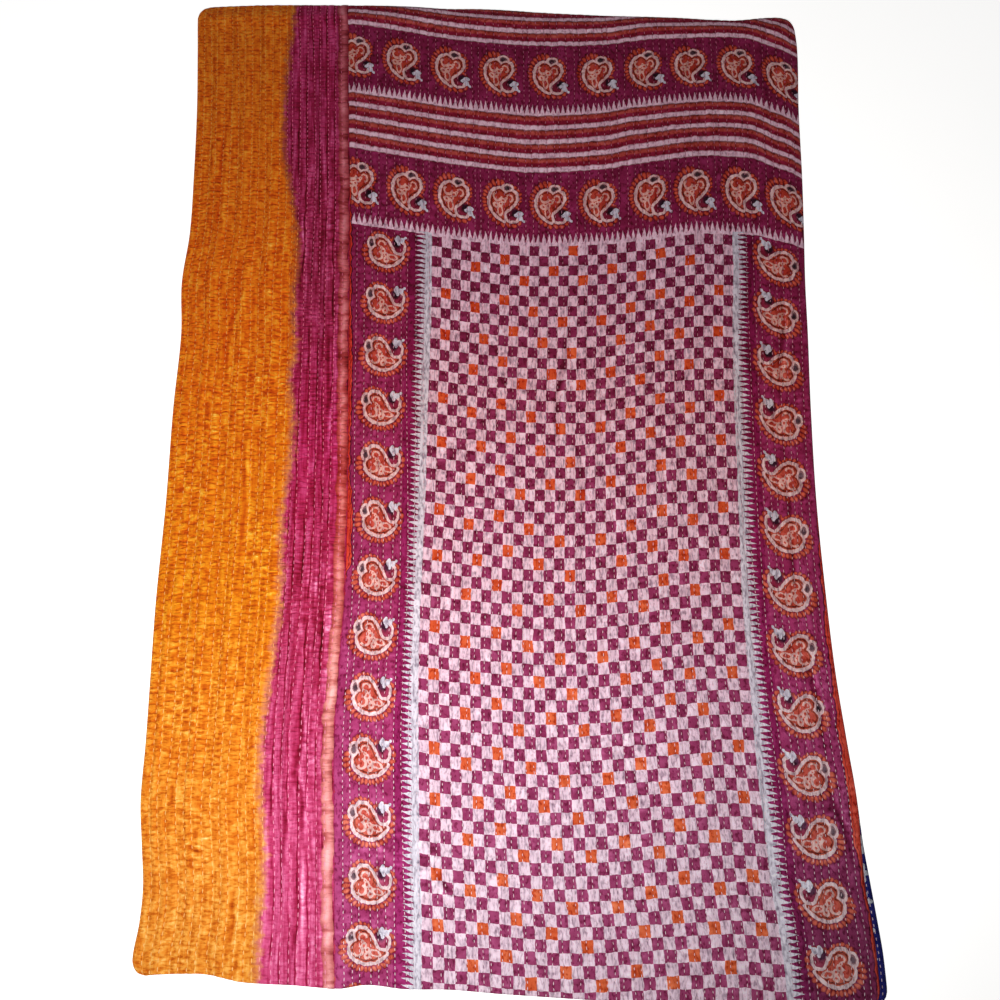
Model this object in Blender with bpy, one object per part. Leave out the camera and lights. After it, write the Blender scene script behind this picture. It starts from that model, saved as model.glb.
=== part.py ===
"""Kantha quilt spread out flat, face up: a printed sari and a strip of a second sari on a backing cloth.

Metres, +Z up. The floor is z = 0, X runs across the quilt and +Y points to its head. The origin is the
middle of the quilt's footprint. The rows of running stitch go from foot to head, and the cloth puffs up
between them.
"""

import math

import bmesh
import bpy

# Driving dimensions
WIDTH = 1.56
LENGTH = 2.33
CORNER_RADIUS = 0.036
BACKING_THICKNESS = 0.0010
CLOTH_THICKNESS = 0.0012  # of a face cloth where a row of stitches holds it down
GAP = 0.0003  # between one layer and the next
PUFF = 0.0016  # rise of the cloth between two rows of stitches
UNEVENNESS = 0.16  # how much one puff differs from the next, as a share
FLAT_HEM = 0.35  # the share of a puff that is left at a hem
HEM_FADE = 0.12  # from a hem to where the puffs have their full rise
LAP = 0.012  # how far the side cloth lies over the printed one
SIDE_ROWS = 22
PRINT_ROWS = 62
SEAM_SHARE = 0.27  # of the width, roughly, to the left of the seam

# The long edges from foot to head. Each row has the distance from the foot of the footprint, how far the
# left edge lies inside the footprint, the seam's distance from the footprint's left side, how far the
# printed cloth's right edge lies inside the footprint, and how much backing shows beyond it.
LONG_EDGES = (
    # from_foot, left_inset, seam, right_inset, backing_shows
    (0.00, 0.020, 0.437, 0.018, 0.017),
    (0.10, 0.020, 0.433, 0.020, 0.016),
    (0.16, 0.028, 0.430, 0.024, 0.014),
    (0.23, 0.030, 0.427, 0.032, 0.014),
    (0.31, 0.021, 0.424, 0.034, 0.007),
    (0.40, 0.011, 0.420, 0.035, 0.002),
    (0.52, 0.012, 0.416, 0.047, 0.002),
    (0.66, 0.011, 0.420, 0.060, 0.002),
    (0.82, 0.010, 0.427, 0.068, 0.002),
    (1.04, 0.015, 0.426, 0.074, 0.002),
    (1.26, 0.015, 0.420, 0.071, 0.002),
    (1.44, 0.020, 0.415, 0.065, 0.002),
    (1.57, 0.012, 0.412, 0.062, 0.002),
    (1.70, 0.022, 0.408, 0.056, 0.002),
    (1.85, 0.021, 0.404, 0.050, 0.002),
    (2.03, 0.016, 0.395, 0.046, 0.002),
    (2.20, 0.006, 0.388, 0.038, 0.002),
    (2.29, 0.000, 0.384, 0.044, 0.002),
    (2.33, 0.000, 0.383, 0.050, 0.002),
)

# The hems from the left to the right side: how far each lies inside the footprint.
HEMS = (
    # from_left, foot_inset, head_inset
    (0.00, 0.060, 0.008),
    (0.08, 0.065, 0.004),
    (0.16, 0.064, 0.001),
    (0.23, 0.050, 0.000),
    (0.34, 0.044, 0.000),
    (0.43, 0.038, 0.001),
    (0.49, 0.045, 0.001),
    (0.57, 0.037, 0.004),
    (0.66, 0.036, 0.011),
    (0.77, 0.028, 0.012),
    (0.92, 0.019, 0.023),
    (1.08, 0.010, 0.031),
    (1.24, 0.004, 0.036),
    (1.40, 0.000, 0.045),
    (1.50, 0.000, 0.037),
    (1.56, 0.003, 0.038),
)

# Low waves where the cloth stands off the floor.
WAVES = (
    # x, y, turn_deg, half_length, half_width, height
    (-0.63, -0.79, 55, 0.17, 0.10, 0.0098),
    (-0.58, -1.04, 80, 0.14, 0.07, 0.0070),
    (-0.69, 0.33, 85, 0.30, 0.09, 0.0075),
    (-0.42, -0.52, 88, 0.42, 0.07, 0.0080),
    (-0.40, 0.72, 92, 0.30, 0.08, 0.0065),
    (-0.12, -0.86, 78, 0.26, 0.10, 0.0065),
    (0.06, 0.12, 66, 0.42, 0.12, 0.0080),
    (0.03, 0.95, 84, 0.18, 0.14, 0.0070),
    (0.36, -0.62, 100, 0.34, 0.10, 0.0070),
    (0.46, 0.52, 97, 0.34, 0.11, 0.0075),
    (0.63, -0.96, 75, 0.16, 0.06, 0.0060),
)
WAVE_START = 0.0024  # a wave lower than this lies flat

# Edges that roll softly down to the floor: the head, and the upper part of the right side.
HEAD_ROLL = 0.0070
SIDE_ROLL = 0.0095
ROLL_WIDTH = 0.110
SIDE_ROLL_MIDDLE = 0.70
SIDE_ROLL_REACH = 0.52

# Puffs that stand up as folds beside a deep crease: the cloth, the puff's number from the left, where
# the fold starts and ends from the foot, and its rise above the other puffs.
FOLDS = (
    # cloth, puff, start, end, rise
    ("side", 1, 0.10, 0.75, 0.0012),
    ("side", 3, 0.95, 1.60, 0.0011),
    ("side", 5, 0.30, 1.10, 0.0013),
    ("side", 8, 1.20, 2.10, 0.0010),
    ("side", 11, 0.15, 0.90, 0.0012),
    ("side", 13, 1.00, 1.80, 0.0014),
    ("side", 16, 0.10, 1.05, 0.0018),
    ("side", 18, 0.70, 2.00, 0.0016),
    ("side", 20, 0.05, 0.80, 0.0012),
    ("print", 3, 0.30, 1.20, 0.0008),
    ("print", 14, 1.30, 1.90, 0.0009),
    ("print", 22, 0.60, 1.50, 0.0011),
    ("print", 27, 0.80, 1.70, 0.0010),
    ("print", 35, 0.20, 1.00, 0.0008),
    ("print", 44, 1.00, 1.80, 0.0009),
    ("print", 57, 0.10, 1.30, 0.0014),
    ("print", 60, 0.40, 1.50, 0.0016),
)

# Where the layers' common grid has its columns, as the number of a row of stitches.
SIDE_STOPS = (0, 1, 2, 6, 10, 14, 18, 20, 21)
PRINT_STOPS = (6, 12, 18, 24, 30, 36, 42, 48, 54, 58, 60, 61, 62)
HEM_STEPS = (0.0, 0.018, 0.036)  # sections beside each hem, from the hem
MIDDLE_SECTIONS = 12


def along(table, column, place):
    """A smooth reading of one column of a table whose first column is the place."""
    rows = len(table)
    k = max(0, min(rows - 2, sum(1 for row in table if row[0] <= place) - 1))
    near = [table[max(0, min(rows - 1, k + step))] for step in (-1, 0, 1, 2)]
    span = near[2][0] - near[1][0]
    share = max(0.0, min(1.0, (place - near[1][0]) / span))

    def slope(a, b):
        return (b[column] - a[column]) / (b[0] - a[0]) * span

    leaving = slope(near[0], near[2])
    arriving = slope(near[1], near[3])
    rise = near[2][column] - near[1][column]
    bend = share * share * (3 - 2 * share)
    start = share * (1 - share) ** 2 * leaving
    end = share * share * (share - 1) * arriving
    return near[1][column] + rise * bend + start + end


def rounded(from_side, from_hem):
    """Distances from a side and a hem, moved in so that the corner between them is round."""
    across = 1 - from_side / CORNER_RADIUS
    up = 1 - from_hem / CORNER_RADIUS
    if across <= 0 or up <= 0:
        return from_side, from_hem
    new_across = across * math.sqrt(1 - up * up / 2)
    new_up = up * math.sqrt(1 - across * across / 2)
    return CORNER_RADIUS * (1 - new_across), CORNER_RADIUS * (1 - new_up)


def place(cloth, share, offset, up):
    """Where a column of a cloth lies, as x and y, at a share of the way up from foot to head."""
    guess = SEAM_SHARE * share if cloth == "side" else SEAM_SHARE + (1 - SEAM_SHARE) * share
    across = min(WIDTH, max(0.0, WIDTH * guess + offset))
    foot = along(HEMS, 1, across)
    head = LENGTH - along(HEMS, 2, across)
    y = foot + (head - foot) * up
    left = along(LONG_EDGES, 1, y)
    seam = along(LONG_EDGES, 2, y)
    right = WIDTH - along(LONG_EDGES, 3, y)
    if cloth == "backing":
        right += along(LONG_EDGES, 4, y)
    start, end = {"side": (left, seam), "print": (seam, right), "backing": (left, right)}[cloth]
    x = start + (end - start) * share + offset
    from_side, from_hem = rounded(min(x - left, right - x), min(y - foot, head - y))
    x = left + from_side if x - left < right - x else right - from_side
    y = foot + from_hem if y - foot < head - y else head - from_hem
    return x - WIDTH / 2, y - LENGTH / 2


def from_edges(x, y):
    """Distances of a place from the left edge, the printed cloth's right edge, the foot and the head."""
    from_left = x + WIDTH / 2
    from_foot = y + LENGTH / 2
    return (
        from_left - along(LONG_EDGES, 1, from_foot),
        WIDTH - along(LONG_EDGES, 3, from_foot) - from_left,
        from_foot - along(HEMS, 1, from_left),
        LENGTH - along(HEMS, 2, from_left) - from_foot,
    )


def roll(from_edge):
    """The shape of a soft rolled edge: nothing at the edge, 1 at its crest, nothing at ROLL_WIDTH."""
    share = min(1.0, max(0.0, from_edge / ROLL_WIDTH))
    return math.sin(math.pi * math.sqrt(share)) ** 2


def lie(x, y):
    """How high the cloth's underside lies above the floor."""
    height = 0.0
    for wave_x, wave_y, turn, half_length, half_width, wave_height in WAVES:
        angle = math.radians(turn)
        dx, dy = x - wave_x, y - wave_y
        lengthways = (dx * math.cos(angle) + dy * math.sin(angle)) / half_length
        sideways = (dy * math.cos(angle) - dx * math.sin(angle)) / half_width
        height += wave_height * math.exp(-(lengthways**2) - sideways**2)
    left, right, foot, head = from_edges(x, y)
    reach = (y - SIDE_ROLL_MIDDLE) / SIDE_ROLL_REACH
    height += HEAD_ROLL * roll(head)
    height += SIDE_ROLL * roll(right) * max(0.0, 1 - reach * reach)
    held_down = min(1.0, max(0.0, min(left, right, foot, head) / CORNER_RADIUS))
    return max(0.0, (height - WAVE_START) * held_down)


def sections():
    """Shares of the way from foot to head where the grid has a section."""
    near = [step / LENGTH for step in HEM_STEPS]
    middle = LENGTH - 2 * HEM_STEPS[-1]
    stops = [(HEM_STEPS[-1] + middle * k / MIDDLE_SECTIONS) / LENGTH for k in range(1, MIDDLE_SECTIONS)]
    return near + stops + [1 - share for share in reversed(near)]


def lattice(columns):
    """The underside's points for a list of (cloth, share, offset) columns: one list of points a column."""
    grid = []
    for cloth, share, offset in columns:
        points = [place(cloth, share, offset, up) for up in sections()]
        grid.append([(x, y, lie(x, y)) for x, y in points])
    return grid


def slab(columns, rows):
    """A closed slab one unit to a cell: its underside's points have z = 0, and its face's have z = 1."""
    bm = bmesh.new()
    bmesh.ops.create_grid(bm, x_segments=columns, y_segments=rows, size=0.5)
    bmesh.ops.translate(bm, verts=bm.verts, vec=(0.5, 0.5, 0))
    bmesh.ops.scale(bm, verts=bm.verts, vec=(columns, rows, 1))
    made = bmesh.ops.extrude_face_region(bm, geom=bm.faces[:])["geom"]
    raised = [item for item in made if isinstance(item, bmesh.types.BMVert)]
    bmesh.ops.translate(bm, verts=raised, vec=(0, 0, 1))
    bmesh.ops.recalc_face_normals(bm, faces=bm.faces)
    return bm


def thin_out(bm, stops, rows):
    """Takes the columns between the stops out of the underside, but for their ends on the hems."""

    def spare(vertex):
        return vertex.co.z < 0.5 and round(vertex.co.x) not in stops

    lengthways = [e for e in bm.edges if all(spare(v) for v in e.verts)]
    lengthways = [e for e in lengthways if round(e.verts[0].co.x) == round(e.verts[1].co.x)]
    bmesh.ops.dissolve_edges(bm, edges=lengthways, use_verts=False)
    inner = [v for v in bm.verts if spare(v) and 0 < round(v.co.y) < rows]
    bmesh.ops.dissolve_verts(bm, verts=inner)


def split_cells(bm):
    """Splits each cell of the face and the underside from its lower left corner to its upper right, so
    that layers that lie on each other nest. A half with extra points on a hem becomes a fan."""
    flat = [f for f in bm.faces if len({round(v.co.z) for v in f.verts}) == 1]
    for face in flat:
        low = min(face.verts, key=lambda v: v.co.x + v.co.y)
        high = max(face.verts, key=lambda v: v.co.x + v.co.y)
        other = bmesh.utils.face_split(face, low, high)[0]
        for half in (face, other):
            lowest = sum(1 for v in half.verts if round(v.co.y) == round(low.co.y))
            fan_out(half, high if lowest > 1 else low)


def fan_out(face, tip):
    """Splits a face into triangles that all meet at one of its corners."""
    while len(face.verts) > 3:
        corners = face.verts[:]
        opposite = corners[(corners.index(tip) + 2) % len(corners)]
        other = bmesh.utils.face_split(face, tip, opposite)[0]
        face = max((face, other), key=lambda part: len(part.verts))


def puff(cloth, number, x, y):
    """How far the cloth rises between two rows of stitches."""
    from_foot = y + LENGTH / 2
    uneven = math.sin(2.3 * number + 4.1 * from_foot) + math.sin(1.1 * number - 7.7 * from_foot)
    height = PUFF * (1 + UNEVENNESS * uneven)
    for fold_cloth, fold_puff, start, end, rise in FOLDS:
        if (fold_cloth, fold_puff) == (cloth, number) and start < from_foot < end:
            height += rise * math.sin(math.pi * (from_foot - start) / (end - start))
    from_hem = min(from_edges(x, y)[2:])
    return height * min(1.0, FLAT_HEM + max(0.0, from_hem) / HEM_FADE)


def build_cloth(name, columns, steps, under, thickness, colour, collection):
    """One layer: columns are its stops, steps the cells from each stop to the next, under a
    function of the stop's number, and thickness of the stop, the cells past it and the place."""
    points = lattice(columns)
    rows = len(points[0]) - 1
    starts = [sum(steps[:k]) for k in range(len(steps) + 1)]
    bm = slab(starts[-1], rows)
    thin_out(bm, set(starts), rows)
    split_cells(bm)
    for vertex in bm.verts:
        column, row = round(vertex.co.x), round(vertex.co.y)
        k = max(i for i, start in enumerate(starts) if start <= column)
        after = min(k + 1, len(points) - 1)
        share = (column - starts[k]) / steps[k] if k < len(steps) else 0.0
        x, y, z = (a + (b - a) * share for a, b in zip(points[k][row], points[after][row]))
        z += under(k)
        if vertex.co.z > 0.5:
            z += thickness(k, column - starts[k], x, y)
        vertex.co = (x, y, z)
    bmesh.ops.remove_doubles(bm, verts=bm.verts, dist=0.00001)
    mesh = bpy.data.meshes.new(name)
    bm.to_mesh(mesh)
    bm.free()
    mesh.materials.append(cloth_material(name, colour))
    cloth = bpy.data.objects.new(name, mesh)
    collection.objects.link(cloth)
    return cloth


def cloth_material(name, colour):
    """Matt woven cotton in one plain colour."""
    material = bpy.data.materials.new(name + "_cotton")
    material.use_nodes = True
    shader = material.node_tree.nodes["Principled BSDF"]
    shader.inputs["Base Color"].default_value = (*colour, 1)
    shader.inputs["Roughness"].default_value = 0.9
    shader.inputs["Metallic"].default_value = 0.0
    return material


def side_columns():
    """Stops across the side cloth, with those that step it up over the printed cloth's edge."""
    stops = [("side", row / SIDE_ROWS, 0.0) for row in SIDE_STOPS]
    return stops + [("side", 1.0, -LAP), ("side", 1.0, 0.0)]


def print_columns():
    """Stops across the printed cloth, from its edge under the side cloth."""
    stops = [("print", row / PRINT_ROWS, 0.0) for row in PRINT_STOPS]
    return [("side", 1.0, -LAP), ("side", 1.0, 0.0)] + stops


def build_backing(collection):
    columns = side_columns() + print_columns()[2:] + [("backing", 1.0, 0.0)]
    return build_cloth(
        "backing_cloth",
        columns,
        [1] * (len(columns) - 1),
        lambda k: 0.0,
        lambda k, step, x, y: BACKING_THICKNESS,
        (0.03, 0.03, 0.22),
        collection,
    )


def build_print(collection):
    """The printed sari. Its first cells lie flat under the side cloth's edge."""
    rows = [0] + list(PRINT_STOPS)
    steps = [1] + [2 * (b - a) for a, b in zip(rows, rows[1:])]

    def thickness(k, step, x, y):
        if k == 0 or step % 2 == 0:
            return CLOTH_THICKNESS
        return CLOTH_THICKNESS + puff("print", rows[k - 1] + step // 2, x, y)

    return build_cloth(
        "printed_cloth",
        print_columns(),
        steps,
        lambda k: BACKING_THICKNESS + GAP,
        thickness,
        (0.45, 0.12, 0.26),
        collection,
    )


def build_side(collection):
    """The orange sari with its magenta border. Its last cells step up over the printed cloth."""
    steps = [2 * (b - a) for a, b in zip(SIDE_STOPS, SIDE_STOPS[1:])] + [1, 1]
    stepped_up = len(SIDE_STOPS) - 1

    def under(k):
        lapped = CLOTH_THICKNESS + GAP if k >= stepped_up else 0.0
        return BACKING_THICKNESS + GAP + lapped

    def thickness(k, step, x, y):
        if k >= stepped_up or step % 2 == 0:
            return CLOTH_THICKNESS
        return CLOTH_THICKNESS + puff("side", SIDE_STOPS[k] + step // 2, x, y)

    return build_cloth(
        "side_cloth", side_columns(), steps, under, thickness, (0.75, 0.28, 0.05), collection
    )


def main():
    for item in list(bpy.data.objects):
        bpy.data.objects.remove(item, do_unlink=True)
    collection = bpy.data.collections.new("kantha_quilt")
    bpy.context.scene.collection.children.link(collection)
    build_backing(collection)
    build_print(collection)
    build_side(collection)


main()
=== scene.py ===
"""Looks for a kantha quilt that is spread out flat, face up: a printed sari, a strip of a dyed sari and
a blue backing, held together by rows of running stitch.

Metres, +Z up, in the frame of the quilt's solids: the floor is z = 0, X runs across the quilt and +Y
points to its head. Each cloth is a thin sheet on its solid's folds.
"""

import math
import random

import bmesh
import bpy
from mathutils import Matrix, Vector, noise


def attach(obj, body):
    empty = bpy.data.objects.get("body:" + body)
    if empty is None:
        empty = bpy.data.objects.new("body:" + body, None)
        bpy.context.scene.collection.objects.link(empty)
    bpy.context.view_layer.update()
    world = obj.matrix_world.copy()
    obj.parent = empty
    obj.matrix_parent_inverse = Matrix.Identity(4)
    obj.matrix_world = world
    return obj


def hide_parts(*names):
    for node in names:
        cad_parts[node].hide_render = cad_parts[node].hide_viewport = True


bl_info = {
    "name": "Kantha Quilt",
    "version": (1, 0, 0),
    "blender": (4, 5, 0),
    "location": "View3D > Sidebar > Quilt",
    "description": "A hand-stitched quilt of two old saris, spread out flat",
    "category": "Object",
}

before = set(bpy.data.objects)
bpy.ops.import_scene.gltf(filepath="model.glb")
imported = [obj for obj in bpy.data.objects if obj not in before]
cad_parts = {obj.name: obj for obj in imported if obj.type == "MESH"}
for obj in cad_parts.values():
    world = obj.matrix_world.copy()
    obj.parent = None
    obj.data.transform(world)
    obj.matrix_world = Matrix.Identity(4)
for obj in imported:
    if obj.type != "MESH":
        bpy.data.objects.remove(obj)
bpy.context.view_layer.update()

# Sizes that the solids have
WIDTH = 1.56
LENGTH = 2.33
CORNER_RADIUS = 0.036
BACKING_THICKNESS = 0.0010
CLOTH_THICKNESS = 0.0012
GAP = 0.0003
PUFF = 0.0016
UNEVENNESS = 0.16
FLAT_HEM = 0.35
HEM_FADE = 0.12
LAP = 0.012
ROWS = {"side": 22, "print": 62}
SEAM_SHARE = 0.27
HIDDEN_BACKING = 0.002  # how much of the backing's edge the printed cloth's turned edge hides
WAVE_START = 0.0024
HEAD_ROLL = 0.0070
SIDE_ROLL = 0.0095
ROLL_WIDTH = 0.110
SIDE_ROLL_MIDDLE = 0.70
SIDE_ROLL_REACH = 0.52
SIDE_ROW = 0.0187  # from one row of stitches to the next in the dyed strip
PRINT_ROW = (1 - SEAM_SHARE) * 1.49 / ROWS["print"]  # and in the printed sari, from its usual width
MILLIMETRE = 0.001
CENTIMETRE = 0.01

# How the faces are shaped beyond the solids
LAP_END = 0.019  # from the seam to where the strip has come down on the backing
LAP_PUFF = 0.35  # the share of its puff that the strip keeps where it laps
LAP_PUFF_FADE = (0.010, 0.020)
PRINT_PUCKER = 0.5  # how high the printed sari's puckers are against the strip's
TURNED_DOWN = 0.0011  # how far the hems and the outer sides roll down
TURNED_WIDTH = 0.006
TUCKED = 0.8  # how far up the backing's thickness the faces' turned edges end
SWING = 0.8  # how far a crease winds, against its half width
RIDGE = 0.55  # the height of the ridge beside a crease, against the crease's depth
RIDGE_PLACE = 2.2
RIDGE_SPREAD = 1.6

# Layers of the noise that each unevenness is read from
LADDER_LAYER = {"side": 2.0, "print": 6.0}
BULGE_LAYER = {"side": 5.0, "print": 1.0}
RISE_LAYER = 3.0
LEAN_LAYER = 4.0
PATCH_LAYER = 9.0

# The long edges from foot to head, as insets from the footprint, with the seam and the backing that shows.
LONG_EDGES = (
    # from_foot, left_inset, seam, right_inset, backing_shows
    (0.00, 0.020, 0.437, 0.018, 0.017),
    (0.10, 0.020, 0.433, 0.020, 0.016),
    (0.16, 0.028, 0.430, 0.024, 0.014),
    (0.23, 0.030, 0.427, 0.032, 0.014),
    (0.31, 0.021, 0.424, 0.034, 0.007),
    (0.40, 0.011, 0.420, 0.035, 0.002),
    (0.52, 0.012, 0.416, 0.047, 0.002),
    (0.66, 0.011, 0.420, 0.060, 0.002),
    (0.82, 0.010, 0.427, 0.068, 0.002),
    (1.04, 0.015, 0.426, 0.074, 0.002),
    (1.26, 0.015, 0.420, 0.071, 0.002),
    (1.44, 0.020, 0.415, 0.065, 0.002),
    (1.57, 0.012, 0.412, 0.062, 0.002),
    (1.70, 0.022, 0.408, 0.056, 0.002),
    (1.85, 0.021, 0.404, 0.050, 0.002),
    (2.03, 0.016, 0.395, 0.046, 0.002),
    (2.20, 0.006, 0.388, 0.038, 0.002),
    (2.29, 0.000, 0.384, 0.044, 0.002),
    (2.33, 0.000, 0.383, 0.050, 0.002),
)

# The hems from the left to the right side, as insets from the footprint.
HEMS = (
    # from_left, foot_inset, head_inset
    (0.00, 0.060, 0.008),
    (0.08, 0.065, 0.004),
    (0.16, 0.064, 0.001),
    (0.23, 0.050, 0.000),
    (0.34, 0.044, 0.000),
    (0.43, 0.038, 0.001),
    (0.49, 0.045, 0.001),
    (0.57, 0.037, 0.004),
    (0.66, 0.036, 0.011),
    (0.77, 0.028, 0.012),
    (0.92, 0.019, 0.023),
    (1.08, 0.010, 0.031),
    (1.24, 0.004, 0.036),
    (1.40, 0.000, 0.045),
    (1.50, 0.000, 0.037),
    (1.56, 0.003, 0.038),
)

# Low waves where the cloth stands off the floor.
WAVES = (
    # x, y, turn_deg, half_length, half_width, height
    (-0.63, -0.79, 55, 0.17, 0.10, 0.0098),
    (-0.58, -1.04, 80, 0.14, 0.07, 0.0070),
    (-0.69, 0.33, 85, 0.30, 0.09, 0.0075),
    (-0.42, -0.52, 88, 0.42, 0.07, 0.0080),
    (-0.40, 0.72, 92, 0.30, 0.08, 0.0065),
    (-0.12, -0.86, 78, 0.26, 0.10, 0.0065),
    (0.06, 0.12, 66, 0.42, 0.12, 0.0080),
    (0.03, 0.95, 84, 0.18, 0.14, 0.0070),
    (0.36, -0.62, 100, 0.34, 0.10, 0.0070),
    (0.46, 0.52, 97, 0.34, 0.11, 0.0075),
    (0.63, -0.96, 75, 0.16, 0.06, 0.0060),
)

# Puffs that stand up as folds beside a deep crease.
FOLDS = (
    # cloth, puff, start, end, rise
    ("side", 1, 0.10, 0.75, 0.0012),
    ("side", 3, 0.95, 1.60, 0.0011),
    ("side", 5, 0.30, 1.10, 0.0013),
    ("side", 8, 1.20, 2.10, 0.0010),
    ("side", 11, 0.15, 0.90, 0.0012),
    ("side", 13, 1.00, 1.80, 0.0014),
    ("side", 16, 0.10, 1.05, 0.0018),
    ("side", 18, 0.70, 2.00, 0.0016),
    ("side", 20, 0.05, 0.80, 0.0012),
    ("print", 3, 0.30, 1.20, 0.0008),
    ("print", 14, 1.30, 1.90, 0.0009),
    ("print", 22, 0.60, 1.50, 0.0011),
    ("print", 27, 0.80, 1.70, 0.0010),
    ("print", 35, 0.20, 1.00, 0.0008),
    ("print", 44, 1.00, 1.80, 0.0009),
    ("print", 57, 0.10, 1.30, 0.0014),
    ("print", 60, 0.40, 1.50, 0.0016),
)

# Creases pressed into the cloth: a soft trough with a low ridge along its right side.
CREASES = (
    # x, y, turn_deg, half_length, half_width, depth
    (-0.634, -0.778, -22, 0.022, 0.0045, 0.0016),
    (-0.652, -0.860, -8, 0.024, 0.0045, 0.0016),
    (-0.628, -0.902, 5, 0.016, 0.0040, 0.0012),
    (-0.700, -0.742, 80, 0.030, 0.0045, 0.0013),
    (-0.560, -0.990, 88, 0.050, 0.0045, 0.0022),
    (-0.545, -1.065, 75, 0.045, 0.0045, 0.0016),
    (-0.526, -0.815, 88, 0.050, 0.0040, 0.0014),
    (-0.508, -0.845, 92, 0.045, 0.0040, 0.0016),
    (-0.438, -0.640, 89, 0.075, 0.0050, 0.0026),
    (-0.432, -0.760, 100, 0.060, 0.0050, 0.0020),
    (-0.462, -0.830, 95, 0.055, 0.0045, 0.0016),
    (-0.430, -0.985, 88, 0.090, 0.0050, 0.0024),
    (-0.400, -0.420, 90, 0.120, 0.0045, 0.0016),
    (-0.452, -0.250, 91, 0.090, 0.0045, 0.0014),
    (-0.410, 0.150, 89, 0.160, 0.0045, 0.0015),
    (-0.440, 0.560, 92, 0.150, 0.0045, 0.0015),
    (-0.492, 0.480, 96, 0.110, 0.0055, 0.0016),
    (-0.640, 0.300, 86, 0.120, 0.0055, 0.0014),
    (-0.590, -0.120, 92, 0.140, 0.0050, 0.0014),
    (-0.690, 0.700, 88, 0.160, 0.0060, 0.0014),
    (-0.262, -0.842, -52, 0.034, 0.0045, 0.0016),
    (-0.120, -0.930, -40, 0.040, 0.0050, 0.0018),
    (-0.160, -0.850, -35, 0.036, 0.0050, 0.0016),
    (0.128, 0.130, 84, 0.110, 0.0060, 0.0016),
    (0.176, -0.090, 95, 0.090, 0.0060, 0.0015),
    (0.704, -0.800, 104, 0.075, 0.0050, 0.0022),
    (0.672, -0.560, 99, 0.090, 0.0050, 0.0018),
    (0.642, -0.200, 93, 0.120, 0.0045, 0.0015),
    (0.651, 0.260, 86, 0.110, 0.0050, 0.0016),
)

# The printed sari's design, in its own flat sizes. Places across are from the middle of the footprint,
# and places down are from the lowest white line of the narrow band at its head.
DESIGN_START = 2.245  # that line's distance from the foot of the footprint
STRIPE = 0.039
NARROW_STRIPE = 0.034
NARROW_END = 0.0065  # where the narrow band ends, below its lowest white line's middle
BAND_TOP = 0.199
BAND_END = 0.361
TOOTH_PITCH = 0.0127
TOOTH_HEIGHT = 0.024
TOOTH_FILL = 0.85  # how much of the line a row of teeth covers
TOOTH_ROOT = 0.003  # how far the teeth reach into the line that they stand on
FIELD_LINE = 0.5525
LINE_WIDTH = 0.0055
FIELD_TOP = 0.561
FIELD_LEFT = -0.1725
FIELD_RIGHT = 0.5498
CHECK_COLUMNS = 31
CHECK_LENGTH = 0.026
CHECK_REPEAT = 10
LEFT_BAND = 0.016
RIGHT_BAND = 0.0135
SIDE_TOOTH = 0.023
STRIP = 0.018
INK_GRAIN = 55.0  # blots to a metre in the ragged edges of the print
INK_SPREAD = 0.0045
FRAY = 0.0035  # how far the selvedges' inner sides stray

# How far the print lies to the right of its straight place.
BOW_PLACES = (-0.29, -0.17, -0.01, 0.19, 0.55)
BOW = (
    # from_foot, at each of the places from left to right
    (0.05, -0.002, 0.004, 0.003, 0.009, 0.021),
    (0.15, 0.004, 0.002, -0.001, 0.002, 0.013),
    (0.22, 0.005, 0.000, -0.005, -0.005, 0.004),
    (0.30, 0.003, -0.006, -0.010, -0.008, -0.002),
    (0.38, -0.002, -0.008, -0.012, -0.011, -0.007),
    (0.46, -0.003, -0.010, -0.016, -0.016, -0.013),
    (0.63, -0.005, -0.015, -0.020, -0.019, -0.018),
    (0.71, -0.004, -0.016, -0.021, -0.021, -0.022),
    (0.89, 0.002, -0.012, -0.019, -0.020, -0.024),
    (1.07, 0.004, -0.006, -0.012, -0.017, -0.021),
    (1.26, -0.002, -0.004, -0.009, -0.012, -0.018),
    (1.45, 0.001, 0.000, -0.003, -0.006, -0.013),
    (1.65, 0.000, 0.000, 0.000, 0.001, -0.001),
    (2.33, 0.000, 0.000, 0.000, 0.000, 0.000),
)

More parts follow.
